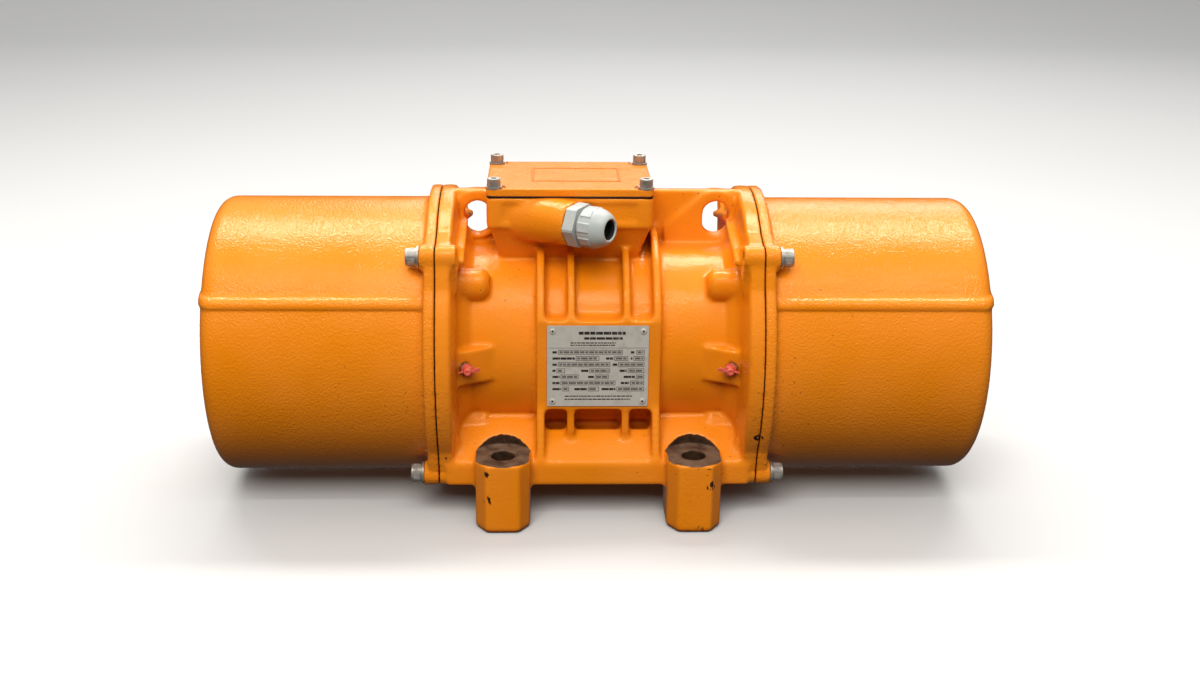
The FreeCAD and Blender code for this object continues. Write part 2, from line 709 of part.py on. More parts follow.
def rib_pockets():
    """Deep pockets between the ribs, behind the top of the sloping wall."""
    half = BLOCK_WIDTH / 2
    inner_left = INNER_RIB_X - INNER_RIB_WIDTH / 2
    inner_right = INNER_RIB_X + INNER_RIB_WIDTH / 2
    slots = []
    for x_span in ((-half + OUTER_RIB_WIDTH, -inner_right), (-inner_left, inner_left),
                   (inner_right, half - OUTER_RIB_WIDTH)):
        slot = slab(x_span, (-POCKET_Y, -SADDLE_ROOT_Y), (POCKET_FLOOR_Z, SADDLE_Z + WEB_WALL))
        slots.extend(front_and_back(slot.cut(rod_x(BARREL_R, *x_span))))
    return slots


def foot_cuts():
    """Bolt holes of the feet and the machined seats round them."""
    cuts = []
    for x, y in FOOT_SPOTS:
        cuts.append(Part.makeCylinder(FOOT_HOLE_D / 2, FOOT_SEAT_Z, V(x, y, 0)))
        cuts.append(Part.makeCylinder(FOOT_SEAT_D / 2, FOOT_TOOL_CLEAR, V(x, y, FOOT_SEAT_Z)))
    return cuts


def casing_bores():
    """Bore of the barrel, seats of the shields and all screw holes of the right half, mirrored."""
    cuts = [rod_x(BARREL_BORE_R, -CASING_HALF, CASING_HALF)]
    right = [rod_x(SHIELD_R, SHIELD_SEAT_X, CASING_HALF)]
    for angle in LUG_ANGLES:
        y, z = polar(LUG_CIRCLE_R, angle)
        right.append(rod_x(COVER_SCREW_D / 2, CASING_HALF - RIM_WALL, CASING_HALF, y, z))
        y, z = polar(SHIELD_BOSS_CIRCLE_R, angle)
        right.append(rod_x(SHIELD_SCREW_D / 2, CASING_HALF - SHIELD_SCREW_LENGTH, SHIELD_SEAT_X, y, z))
    duct_start = V(NIPPLE_X, -BARREL_BORE_R, AXIS_Z)
    right.append(Part.makeCylinder(GREASE_DUCT_D / 2, GREASE_PAD_RISE, duct_start, V(0, -1, 0)))
    right.append(placed(Part.makeCylinder(NIPPLE_THREAD_R, NIPPLE_THREAD_LENGTH, V(0, 0, -NIPPLE_THREAD_LENGTH)),
                        nipple_seat(), nipple_axis()))
    for shape in right:
        cuts.extend(both_ends(shape))
    return cuts


def box_cuts():
    """Cored and drilled spaces of the terminal box."""
    thread = Part.makeCylinder(GLAND_THREAD_R, GLAND_BOSS_LENGTH,
                               GLAND_BASE.sub(V(GLAND_AXIS).multiply(GLAND_BOSS_LENGTH)), GLAND_AXIS)
    seat = Part.makeCylinder(GLAND_HEX_CORNER_R + GLAND_SEAT_CLEAR, GLAND_HEX_LENGTH, GLAND_BASE, GLAND_AXIS)
    cuts = [terminal_box_inside(), thread, seat,
            Part.makeCylinder(WIRE_HOLE_D / 2, BOX_FLOOR_Z - AXIS_Z, V(WIRE_HOLE_X, 0, AXIS_Z)),
            Part.makeCylinder(EARTH_SCREW_D / 2, EARTH_SCREW_LENGTH,
                              V(EARTH_SCREW_X, 0, BOX_FLOOR_Z - EARTH_SCREW_LENGTH))]
    depth = LID_SCREW_LENGTH - LID_T - WASHER_T
    cuts.extend(Part.makeCylinder(LID_SCREW_D / 2, depth, V(x, y, BOX_TOP_Z - depth))
                for x, y in LID_SCREW_SPOTS)
    cuts.extend(Part.makeCylinder(RIVET_SHANK_R, RIVET_DEPTH, V(x, -PAD_Y, z), V(0, 1, 0))
                for x, z in rivet_spots())
    return cuts


def casing():
    """The cast body: barrel, flanges, feet, ribs, lifting eyes and terminal box in one piece."""
    body = union(casing_outside())
    cuts = rib_pockets() + foot_cuts() + casing_bores() + box_cuts() + [eye_hole(1), eye_hole(-1)]
    return body.cut(cuts)


def casing_sections():
    """The casting as three sections that meet face to face at the sides of the ribbed block."""
    body = casing()
    joint_x = BLOCK_WIDTH / 2
    spans = ((-CASING_HALF, -joint_x), (-joint_x, joint_x), (joint_x, CASING_HALF))
    reach = 2 * RIM_R
    return group([body.common(slab(span, (-reach, reach), (0, 2 * AXIS_Z + BOX_TOP_Z))) for span in spans])


# ================================================================ terminal box fittings
def lid_gasket():
    frame = slab(BOX_X_SPAN, BOX_Y_SPAN, (BOX_TOP_Z, LID_BOTTOM_Z))
    frame = softened(frame, BOX_CORNER, runs_along(V(0, 0, 1)))
    hole = slab(shrunk(BOX_X_SPAN, BOX_WALL), shrunk(BOX_Y_SPAN, BOX_WALL), (BOX_TOP_Z, LID_BOTTOM_Z))
    posts = [Part.makeCylinder(LID_SCREW_POST_R, GASKET_T, V(x, y, BOX_TOP_Z)) for x, y in LID_SCREW_SPOTS]
    holes = [Part.makeCylinder((LID_SCREW_D + HOLE_CLEAR) / 2, GASKET_T, V(x, y, BOX_TOP_Z))
             for x, y in LID_SCREW_SPOTS]
    return frame.cut(hole.cut(posts)).cut(holes)


def terminal_lid():
    """Lid with a thin raised frame on top and a shallow seat round each screw."""
    lid = slab(BOX_X_SPAN, BOX_Y_SPAN, (LID_BOTTOM_Z, LID_TOP_Z))
    lid = softened(lid, BOX_CORNER, runs_along(V(0, 0, 1)))
    lid = softened(lid, LID_EDGE, at_height(LID_TOP_Z))
    frame_x = (LID_FRAME_X - LID_FRAME_LENGTH / 2, LID_FRAME_X + LID_FRAME_LENGTH / 2)
    frame_y = (-LID_FRAME_WIDTH / 2, LID_FRAME_WIDTH / 2)
    heights = (LID_TOP_Z, LID_TOP_Z + LID_FRAME_HEIGHT)
    frame = slab(frame_x, frame_y, heights)
    frame = frame.cut(slab(shrunk(frame_x, LID_FRAME_LINE), shrunk(frame_y, LID_FRAME_LINE), heights))
    cuts = []
    for x, y in LID_SCREW_SPOTS:
        cuts.append(Part.makeCylinder((LID_SCREW_D + HOLE_CLEAR) / 2, LID_T, V(x, y, LID_BOTTOM_Z)))
        cuts.append(Part.makeCylinder(LID_SEAT_R, LID_SEAT_DEPTH, V(x, y, LID_TOP_Z - LID_SEAT_DEPTH)))
    return lid.fuse(frame).cut(cuts)


def lid_fasteners():
    seat_z = LID_TOP_Z - LID_SEAT_DEPTH
    washers = [washer(LID_SCREW_D).translated(V(x, y, seat_z)) for x, y in LID_SCREW_SPOTS]
    screws = [cap_screw(LID_SCREW_D, LID_SCREW_LENGTH).translated(V(x, y, seat_z + WASHER_T))
              for x, y in LID_SCREW_SPOTS]
    return group(screws), group(washers)


def stud_spots():
    return [(BOX_X + column * STUD_PITCH_X, row * STUD_PITCH_Y / 2)
            for column in (-1, 0, 1) for row in (-1, 1)]


def terminal_board():
    half_x, half_y = BOARD_LENGTH / 2, BOARD_WIDTH / 2
    board = slab((BOX_X - half_x, BOX_X + half_x), (-half_y, half_y), (BOX_FLOOR_Z, BOX_FLOOR_Z + BOARD_T))
    board = softened(board, BOX_CORNER, runs_along(V(0, 0, 1)))
    top_z = BOX_FLOOR_Z + BOARD_T
    wall = slab((BOX_X - half_x + BOX_CORNER, BOX_X + half_x - BOX_CORNER),
                (-BOARD_RIDGE / 2, BOARD_RIDGE / 2), (top_z, top_z + STUD_NUT_H))
    holes = [Part.makeCylinder(STUD_D / 2, BOARD_T, V(x, y, BOX_FLOOR_Z)) for x, y in stud_spots()]
    return board.fuse(wall).cut(holes)


def terminal_hardware():
    """Six studs, the bar that joins one row of them, and their nuts."""
    top_z = BOX_FLOOR_Z + BOARD_T
    studs = [Part.makeCylinder(STUD_D / 2, BOARD_T + STUD_HEIGHT, V(x, y, BOX_FLOOR_Z)) for x, y in stud_spots()]
    row = -STUD_PITCH_Y / 2
    bar = slab((BOX_X - STUD_PITCH_X - LINK_MARGIN, BOX_X + STUD_PITCH_X + LINK_MARGIN),
               (row - LINK_MARGIN, row + LINK_MARGIN), (top_z, top_z + LINK_T))
    bar = softened(bar, LINK_MARGIN / 2, runs_along(V(0, 0, 1)))
    bar = bar.cut([Part.makeCylinder(STUD_D / 2, LINK_T, V(x, y, top_z)) for x, y in stud_spots() if y < 0])
    nuts = []
    for x, y in stud_spots():
        base_z = top_z + LINK_T if y < 0 else top_z
        nut = hexagon(STUD_NUT_AF, STUD_NUT_H).cut(Part.makeCylinder(STUD_D / 2, STUD_NUT_H))
        nuts.append(nut.translated(V(x, y, base_z)))
    return group(studs), bar, group(nuts)


def earth_screw():
    return cap_screw(EARTH_SCREW_D, EARTH_SCREW_LENGTH).translated(V(EARTH_SCREW_X, 0, BOX_FLOOR_Z))


def gland_parts():
    """Screwed-in body, clamping nut and rubber seal of the cable gland, made along +Z."""
    hexagonal = hexagon(GLAND_HEX, GLAND_HEX_LENGTH)
    hexagonal = hexagonal.common(Part.makeCylinder(GLAND_HEX_CORNER_R, GLAND_HEX_LENGTH))
    thread = Part.makeCylinder(GLAND_THREAD_R, GLAND_THREAD_LENGTH, V(0, 0, -GLAND_THREAD_LENGTH))
    neck = Part.makeCylinder(GLAND_NECK_R, GLAND_NECK_LENGTH, V(0, 0, GLAND_HEX_LENGTH))
    bore = Part.makeCylinder(GLAND_SEAL_R, GLAND_THREAD_LENGTH + GLAND_HEX_LENGTH + GLAND_NECK_LENGTH,
                             V(0, 0, -GLAND_THREAD_LENGTH))
    body = union([hexagonal, thread, neck]).cut(bore)
    nut_z = GLAND_HEX_LENGTH + GLAND_NUT_GAP
    dome_z = nut_z + GLAND_NUT_HEX_LENGTH
    nut = Part.makeCylinder(GLAND_NUT_R, GLAND_NUT_HEX_LENGTH, V(0, 0, nut_z))
    nut = nut.fuse(Part.makeCone(GLAND_NUT_R, GLAND_MOUTH_R, GLAND_NUT_DOME, V(0, 0, dome_z)))
    nut = softened(nut, GLAND_NUT_R / 3, lambda edge: at_height(dome_z)(edge))
    inside = Part.makeCylinder(GLAND_NECK_R + GLAND_FIT, GLAND_HEX_LENGTH + GLAND_NECK_LENGTH + GLAND_FIT - nut_z,
                               V(0, 0, nut_z))
    mouth = Part.makeCylinder(GLAND_OPENING_R, GLAND_NUT_HEX_LENGTH + GLAND_NUT_DOME, V(0, 0, nut_z))
    flats = hexagon(GLAND_HEX, GLAND_NUT_HEX_LENGTH + GLAND_NUT_DOME).translated(V(0, 0, nut_z))
    nut = nut.common(flats).cut([inside, mouth])
    seal = Part.makeCylinder(GLAND_SEAL_R, GLAND_NECK_LENGTH, V(0, 0, GLAND_HEX_LENGTH))
    seal = seal.cut(Part.makeCylinder(GLAND_SEAL_BORE_R, GLAND_NECK_LENGTH, V(0, 0, GLAND_HEX_LENGTH)))
    return [placed(piece, GLAND_BASE, GLAND_AXIS) for piece in (body, nut, seal)]


# ================================================================ weight covers
def weight_cover():
    """Right-hand cast cup over the eccentric weights, with its flange, lugs and parting bead."""
    flange_x = CASING_HALF + COVER_FLANGE
    inner_x = COVER_HALF - COVER_WALL
    skin = turned([(CASING_HALF, 0), (CASING_HALF, COVER_R), (COVER_HALF, COVER_R), (COVER_HALF, 0)])
    skin = softened(skin, COVER_CORNER, lambda edge: on_ring(edge, COVER_HALF, COVER_R))
    bead = turned([(CASING_HALF, 0), (CASING_HALF, COVER_R + BEAD_PROUD),
                   (COVER_HALF + BEAD_PROUD, COVER_R + BEAD_PROUD), (COVER_HALF + BEAD_PROUD, 0)])
    bead = softened(bead, COVER_CORNER + BEAD_PROUD,
                    lambda edge: on_ring(edge, COVER_HALF + BEAD_PROUD, COVER_R + BEAD_PROUD))
    bead_z = AXIS_Z + COVER_R * math.sin(math.radians(BEAD_ANGLE))
    bead = bead.common(slab((CASING_HALF, COVER_HALF + 2 * BEAD_PROUD), (-2 * COVER_R, 2 * COVER_R),
                            (bead_z - BEAD_WIDTH / 2, bead_z + BEAD_WIDTH / 2)))
    rim = rod_x(RIM_R, CASING_HALF, flange_x)
    rim = softened(rim, RIM_EDGE, lambda edge: on_ring(edge, flange_x, RIM_R))
    lugs = flange_lugs(CASING_HALF, LUG_SEAT_X, flange_x)
    room = turned([(CASING_HALF, 0), (CASING_HALF, COVER_BORE_R), (inner_x, COVER_BORE_R), (inner_x, 0)])
    room = softened(room, COVER_CORNER - COVER_WALL, lambda edge: on_ring(edge, inner_x, COVER_BORE_R))
    cuts = [room, seal_ring()]
    for angle in LUG_ANGLES:
        y, z = polar(LUG_CIRCLE_R, angle)
        cuts.append(rod_x((COVER_SCREW_D + HOLE_CLEAR) / 2, CASING_HALF, LUG_SEAT_X, y, z))
    return union([skin, bead, rim] + lugs).cut(cuts)


def seal_ring():
    """Right-hand rubber ring let into the cover's flange."""
    return tube_x(SEAL_R + SEAL_WIDTH / 2, SEAL_R - SEAL_WIDTH / 2, CASING_HALF, CASING_HALF + SEAL_T)


def cover_fasteners():
    """Screws and washers of both covers."""
    screws, washers = [], []
    for angle in LUG_ANGLES:
        y, z = polar(LUG_CIRCLE_R, angle)
        washers.extend(both_ends(placed(washer(COVER_SCREW_D), V(LUG_SEAT_X, y, z), V(1, 0, 0))))
        screws.extend(both_ends(placed(cap_screw(COVER_SCREW_D, COVER_SCREW_LENGTH),
                                       V(LUG_SEAT_X + WASHER_T, y, z), V(1, 0, 0))))
    return group(screws), group(washers)


# ================================================================ stator, rotor and shaft
def stator_core():
    """Laminated core with its open slots."""
    core = tube_x(BARREL_BORE_R, STATOR_BORE_R, -CORE_HALF, CORE_HALF)
    slots = []
    for index in range(STATOR_SLOTS):
        slot = slab((-CORE_HALF, CORE_HALF), (STATOR_BORE_R - STATOR_SLOT_WIDTH, STATOR_BORE_R + STATOR_SLOT_DEPTH),
                    (-STATOR_SLOT_WIDTH / 2, STATOR_SLOT_WIDTH / 2))
        slot = slot.translated(V(0, 0, AXIS_Z))
        slot.rotate(V(0, 0, AXIS_Z), V(1, 0, 0), index * 360.0 / STATOR_SLOTS)
        slots.append(slot)
    return core.cut(slots)


def stator_winding():
    """Right-hand end turns, a rounded bundle bedded on the core."""
    outer = STATOR_BORE_R + STATOR_SLOT_DEPTH + COIL_END_WALL / 2
    inner = outer - COIL_END_WALL
    end_x = CORE_HALF + COIL_END_LENGTH
    bundle = tube_x(outer, inner, CORE_HALF, end_x)
    return softened(bundle, COIL_END_WALL / 3, lambda edge: edge.BoundBox.XMin > end_x - 1e-6)


def rotor_core():
    """Rotor stack with its two cast end rings."""
    stack = tube_x(ROTOR_R, SHAFT_CORE_R, -CORE_HALF, CORE_HALF)
    ring_r = ROTOR_R - ROTOR_RING_STEP
    rings = both_ends(tube_x(ring_r, ring_r - ROTOR_RING_WALL, CORE_HALF, CORE_HALF + ROTOR_RING_LENGTH))
    return union([stack] + rings)


def shaft():
    """Stepped shaft, keyed for the fixed weights and grooved for the retaining rings."""
    groove_r = SHAFT_WEIGHT_R - CIRCLIP_GROOVE
    half = turned([(0, 0), (0, SHAFT_CORE_R), (SHAFT_CORE_HALF, SHAFT_CORE_R),
                   (SHAFT_CORE_HALF, SHAFT_SHOULDER_R), (BEARING_X, SHAFT_SHOULDER_R),
                   (BEARING_X, SHAFT_BEARING_R), (SPACER_END_X, SHAFT_BEARING_R),
                   (SPACER_END_X, SHAFT_WEIGHT_R), (CIRCLIP_X, SHAFT_WEIGHT_R),
                   (CIRCLIP_X, groove_r), (CIRCLIP_X + CIRCLIP_T, groove_r),
                   (CIRCLIP_X + CIRCLIP_T, SHAFT_WEIGHT_R), (SHAFT_HALF - SHAFT_CHAMFER, SHAFT_WEIGHT_R),
                   (SHAFT_HALF, SHAFT_WEIGHT_R - SHAFT_CHAMFER), (SHAFT_HALF, 0)])
    return union(both_ends(half)).cut(both_ends(weight_key()))


def weight_key():
    """Right-hand round-ended key under the fixed weight."""
    start_x = SPACER_END_X + (WEIGHT_T - KEY_LENGTH) / 2
    key = slab((start_x, start_x + KEY_LENGTH), (-KEY_WIDTH / 2, KEY_WIDTH / 2), key_heights())
    return softened(key, KEY_END_R, runs_along(V(0, 0, 1)))


# ================================================================ bearings and shields
def bearing_shield():
    """Right-hand shield: flange on the casing, spigot in its bore, web and bearing hub."""
    spigot_r = BARREL_BORE_R - SHIELD_FIT
    hub_end_x = BEARING_END_X + SHIELD_HUB_PROUD
    lip_r = SHAFT_SHOULDER_R + SHIELD_LIP_CLEAR
    shield = turned([(SHIELD_LIP_X, lip_r), (SHIELD_LIP_X, SHIELD_HUB_R), (SHIELD_WEB_X, SHIELD_HUB_R),
                     (SHIELD_WEB_X, spigot_r), (SHIELD_SEAT_X, spigot_r),
                     (SHIELD_SEAT_X, SHIELD_R - SHIELD_FIT), (CASING_HALF, SHIELD_R - SHIELD_FIT),
                     (CASING_HALF, SHIELD_HUB_R), (hub_end_x, SHIELD_HUB_R),
                     (hub_end_x, BEARING_R), (BEARING_X, BEARING_R), (BEARING_X, lip_r)])
    cuts = []
    for angle in LUG_ANGLES:
        y, z = polar(SHIELD_BOSS_CIRCLE_R, angle)
        cuts.append(rod_x((SHIELD_SCREW_D + HOLE_CLEAR) / 2, SHIELD_SEAT_X, CASING_HALF, y, z))
        y, z = polar(CAP_SCREW_CIRCLE_R, angle)
        cuts.append(rod_x(CAP_SCREW_D / 2, hub_end_x - CAP_SCREW_LENGTH + CAP_T, hub_end_x, y, z))
    duct = Part.makeCylinder(GREASE_DUCT_D / 2, BARREL_BORE_R - BEARING_R,
                             V(SHIELD_SEAT_X - SHIELD_SPIGOT / 2, -BEARING_R, AXIS_Z), V(0, -1, 0))
    return shield.cut(cuts + [duct])


def bearing_cap():
    """Right-hand outer cap that holds the bearing's outer ring and seals round the spacer."""
    hub_end_x = BEARING_END_X + SHIELD_HUB_PROUD
    cap_bore = SPACER_R + CAP_CLEAR
    cap = turned([(BEARING_END_X, OUTER_RACE_R), (BEARING_END_X, BEARING_R - SHIELD_FIT),
                  (hub_end_x, BEARING_R - SHIELD_FIT), (hub_end_x, SHIELD_HUB_R),
                  (hub_end_x + CAP_T, SHIELD_HUB_R), (hub_end_x + CAP_T, cap_bore), (hub_end_x, cap_bore),
                  (hub_end_x, OUTER_RACE_R)])
    holes = []
    for angle in LUG_ANGLES:
        y, z = polar(CAP_SCREW_CIRCLE_R, angle)
        holes.append(rod_x((CAP_SCREW_D + HOLE_CLEAR) / 2, BEARING_END_X, hub_end_x + CAP_T, y, z))
    return cap.cut(holes)


def screw_circle(diameter, length, seat_x, circle_r):
    """Socket head screws of both ends on one bolt circle."""
    screws = []
    for angle in LUG_ANGLES:
        seat = V(seat_x, *polar(circle_r, angle))
        screws.extend(both_ends(placed(cap_screw(diameter, length), seat, V(1, 0, 0))))
    return group(screws)


def shield_screws():
    return screw_circle(SHIELD_SCREW_D, SHIELD_SCREW_LENGTH, CASING_HALF, SHIELD_BOSS_CIRCLE_R)


def cap_screws():
    seat_x = BEARING_END_X + SHIELD_HUB_PROUD + CAP_T
    return screw_circle(CAP_SCREW_D, CAP_SCREW_LENGTH, seat_x, CAP_SCREW_CIRCLE_R)


def bearing_outer_ring():
    lip_r = OUTER_RACE_R - RACE_LIP
    lip_in = BEARING_X + RACE_LIP_WIDTH
    lip_out = BEARING_END_X - RACE_LIP_WIDTH
    return turned([(BEARING_X, BEARING_R), (BEARING_END_X, BEARING_R), (BEARING_END_X, lip_r), (lip_out, lip_r),
                   (lip_out, OUTER_RACE_R), (lip_in, OUTER_RACE_R), (lip_in, lip_r), (BEARING_X, lip_r)])


def bearing_inner_ring():
    lip_r = INNER_RACE_R + RACE_LIP
    lip_in = BEARING_X + RACE_LIP_WIDTH
    return turned([(BEARING_X, SHAFT_BEARING_R), (BEARING_X, lip_r), (lip_in, lip_r), (lip_in, INNER_RACE_R),
                   (BEARING_END_X, INNER_RACE_R), (BEARING_END_X, SHAFT_BEARING_R)])


def roller_angles():
    return [index * 360.0 / ROLLER_COUNT for index in range(ROLLER_COUNT)]


def roller_span():
    return (BEARING_X + RACE_LIP_WIDTH + ROLLER_CLEAR, BEARING_END_X - RACE_LIP_WIDTH - ROLLER_CLEAR)


def bearing_rollers():
    start_x, end_x = roller_span()
    return group([rod_x(ROLLER_R - ROLLER_CLEAR, start_x, end_x, *polar(ROLLER_PITCH_R, angle))
                  for angle in roller_angles()])


def bearing_cage():
    """Two rings joined by a bar between each pair of rollers."""
    start_x, end_x = roller_span()
    start_x -= CAGE_CLEAR
    end_x += CAGE_CLEAR
    outer = ROLLER_PITCH_R + CAGE_RING_WALL / 2
    inner = ROLLER_PITCH_R - CAGE_RING_WALL / 2
    pieces = [tube_x(outer, inner, start_x - CAGE_RING_WIDTH, start_x),
              tube_x(outer, inner, end_x, end_x + CAGE_RING_WIDTH)]
    half_step = 180.0 / ROLLER_COUNT
    for angle in roller_angles():
        y, z = polar(ROLLER_PITCH_R, angle + half_step)
        pieces.append(rod_x(CAGE_BAR_R, start_x - CAGE_RING_WIDTH, end_x + CAGE_RING_WIDTH, y, z))
    return union(pieces)


def shaft_spacer():
    """Right-hand sleeve between the bearing's inner ring and the fixed weight."""
    return tube_x(SPACER_R, SHAFT_BEARING_R, BEARING_END_X, SPACER_END_X)


# ================================================================ eccentric weights
def weight_blank(x_start, bore_r):
    """Heavy sector below the shaft, split hub round it and clamping ears above."""
    x_end = x_start + WEIGHT_T
    sector = Part.makeCylinder(WEIGHT_R, WEIGHT_T, V(x_start, 0, AXIS_Z), V(1, 0, 0), WEIGHT_SWEEP)
    sector.rotate(V(0, 0, AXIS_Z), V(1, 0, 0), sector_turn())
    hub = rod_x(WEIGHT_HUB_R, x_start, x_end)
    half = WEIGHT_EAR_WIDTH / 2
    ears = slab((x_start, x_end), (-half, half), (AXIS_Z, AXIS_Z + WEIGHT_EAR_HEIGHT))
    ears = softened(ears, RIB_FILLET, lambda edge: runs_along(V(1, 0, 0))(edge)
                    and edge.CenterOfMass.z > AXIS_Z + 1)
    blank = union([sector, hub, ears])
    slit = slab((x_start, x_end), (-WEIGHT_SLIT / 2, WEIGHT_SLIT / 2), (AXIS_Z, AXIS_Z + 2 * WEIGHT_EAR_HEIGHT))
    bolt_x, bolt_z = x_start + WEIGHT_T / 2, AXIS_Z + WEIGHT_BOLT_Z
    hole = Part.makeCylinder((WEIGHT_BOLT_D + HOLE_CLEAR) / 2, WEIGHT_EAR_WIDTH, V(bolt_x, -half, bolt_z), V(0, 1, 0))
    sink_r = WEIGHT_BOLT_D * WASHER_RATIO / 2
    sinks = [Part.makeCylinder(sink_r, WEIGHT_BOLT_SINK, V(bolt_x, side * half, bolt_z), V(0, -side, 0))
             for side in (-1, 1)]
    return blank.cut([rod_x(bore_r, x_start, x_end), slit, hole] + sinks)


def sector_turn():
    """Turn that centres the sector below the shaft."""
    start = Part.makeCylinder(1, 1, V(0, 0, 0), V(1, 0, 0), WEIGHT_SWEEP).CenterOfMass
    return -90.0 - math.degrees(math.atan2(start.z, start.y))


def fixed_weight():
    start_x = SPACER_END_X
    groove = weight_key_groove()
    return weight_blank(start_x, SHAFT_WEIGHT_R).cut(groove)


def weight_key_groove():
    """Groove in the fixed weight over the whole of its length."""
    return slab((SPACER_END_X, DISC_X), (-KEY_WIDTH / 2, KEY_WIDTH / 2), key_heights())


def key_heights():
    """Lowest and highest point of the key, on the heavy side of the shaft."""
    top_z = AXIS_Z - SHAFT_WEIGHT_R + KEY_DEPTH
    return top_z - KEY_HEIGHT, top_z


def adjustable_weight():
    return weight_blank(ADJUST_X, SHAFT_WEIGHT_R + WEIGHT_RUN_CLEAR)


def clamp_bolt(x_start):
    """Clamping bolt across a weight's ears, with its nut, seated at the bottom of the sinks."""
    half = WEIGHT_EAR_WIDTH / 2 - WEIGHT_BOLT_SINK
    seat = V(x_start + WEIGHT_T / 2, -half, AXIS_Z + WEIGHT_BOLT_Z)
    bolt = placed(cap_screw(WEIGHT_BOLT_D, 2 * half + WEIGHT_BOLT_SINK), seat, V(0, -1, 0))
    nut_h = WEIGHT_BOLT_SINK
    nut = hexagon(WEIGHT_BOLT_D * HEAD_RATIO, nut_h).cut(Part.makeCylinder(WEIGHT_BOLT_D / 2, nut_h))
    nut = placed(nut, V(seat.x, half, seat.z), V(0, 1, 0))
    return group([bolt, nut])


def scale_disc():
    """Right-hand thin disc between the weights, notched round its edge."""
    disc = tube_x(SCALE_DISC_R, SHAFT_WEIGHT_R, DISC_X, DISC_X + SCALE_DISC_T)
    marks = []
    for index in range(SCALE_MARKS):
        mark = slab((DISC_X, DISC_X + SCALE_DISC_T), (SCALE_DISC_R - SCALE_MARK_DEPTH, SCALE_DISC_R + 1),
                    (-SCALE_MARK_WIDTH / 2, SCALE_MARK_WIDTH / 2)).translated(V(0, 0, AXIS_Z))
        mark.rotate(V(0, 0, AXIS_Z), V(1, 0, 0), index * 360.0 / SCALE_MARKS)
        marks.append(mark)
    return disc.cut(marks)


def shaft_circlip():
    """Right-hand open retaining ring in its groove."""
    ring = tube_x(SHAFT_WEIGHT_R + CIRCLIP_PROUD, SHAFT_WEIGHT_R - CIRCLIP_GROOVE, CIRCLIP_X, CIRCLIP_X + CIRCLIP_T)
    gap = slab((CIRCLIP_X, CIRCLIP_X + CIRCLIP_T), (-CIRCLIP_GAP / 2, CIRCLIP_GAP / 2),
               (AXIS_Z, AXIS_Z + 2 * SHAFT_WEIGHT_R))
    return ring.cut(gap)


# ================================================================ nameplate and grease points
def rivet_spots():
    return [(PLATE_X + side_x * (PLATE_LENGTH / 2 - RIVET_INSET), AXIS_Z + side_z * (PLATE_HEIGHT / 2 - RIVET_INSET))
            for side_x in (-1, 1) for side_z in (-1, 1)]


def nameplate():
    """Bare plate riveted to the front pad."""
    plate = slab((PLATE_X - PLATE_LENGTH / 2, PLATE_X + PLATE_LENGTH / 2), (-PAD_Y - PLATE_T, -PAD_Y),
                 (AXIS_Z - PLATE_HEIGHT / 2, AXIS_Z + PLATE_HEIGHT / 2))
    plate = softened(plate, RIVET_SHANK_R, runs_along(V(0, 1, 0)))
    return plate.cut([Part.makeCylinder(RIVET_SHANK_R, PLATE_T, V(x, -PAD_Y, z), V(0, -1, 0))
                      for x, z in rivet_spots()])


def nameplate_rivets():
    rivets = []
    for x, z in rivet_spots():
        head = Part.makeCylinder(RIVET_HEAD_R, RIVET_HEAD_H)
        head = softened(head, RIVET_HEAD_ROUND, at_height(RIVET_HEAD_H))
        shank = Part.makeCylinder(RIVET_SHANK_R, RIVET_DEPTH + PLATE_T, V(0, 0, -RIVET_DEPTH - PLATE_T))
        rivets.append(placed(head.fuse(shank), V(x, -PAD_Y - PLATE_T, z), V(0, -1, 0)))
    return group(rivets)


def nipple_slope():
    return GREASE_PAD_RISE / (CASING_HALF - RIM_WALL - GREASE_PAD_X)


def nipple_seat():
    """Where the right-hand nipple stands on the wedge."""
    return V(NIPPLE_X, -BARREL_R - nipple_slope() * (NIPPLE_X - GREASE_PAD_X), AXIS_Z)


def nipple_axis():
    return V(-nipple_slope(), -1, 0).normalize()


def grease_nipple():
    neck_z = NIPPLE_HEX_LENGTH
    ball_z = neck_z + NIPPLE_NECK_LENGTH + NIPPLE_BALL_RISE
    ball = Part.makeSphere(NIPPLE_BALL_R, V(0, 0, ball_z))
    pieces = [Part.makeCylinder(NIPPLE_THREAD_R, NIPPLE_THREAD_LENGTH, V(0, 0, -NIPPLE_THREAD_LENGTH)),
              hexagon(NIPPLE_HEX, NIPPLE_HEX_LENGTH),
              Part.makeCylinder(NIPPLE_NECK_R, NIPPLE_NECK_LENGTH + NIPPLE_BALL_R, V(0, 0, neck_z)), ball]
    return placed(union(pieces), nipple_seat(), nipple_axis())


def grease_cap():
    """Right-hand rubber cap pushed over the nipple's ball, with its collar below."""
    start_z = NIPPLE_HEX_LENGTH
    outer_r = NIPPLE_BALL_R + CAP_RUBBER_WALL
    body = Part.makeCylinder(outer_r, CAP_RUBBER_LENGTH, V(0, 0, start_z))
    body = softened(body, outer_r / 3, at_height(start_z + CAP_RUBBER_LENGTH))
    collar = Part.makeCylinder(CAP_COLLAR_R, CAP_RUBBER_WALL, V(0, 0, start_z))
    ball_z = start_z + NIPPLE_NECK_LENGTH + NIPPLE_BALL_RISE
    hollow = [Part.makeSphere(NIPPLE_BALL_R, V(0, 0, ball_z)),
              Part.makeCylinder(NIPPLE_BALL_R, ball_z - start_z, V(0, 0, start_z))]
    return placed(body.fuse(collar).cut(hollow), nipple_seat(), nipple_axis())


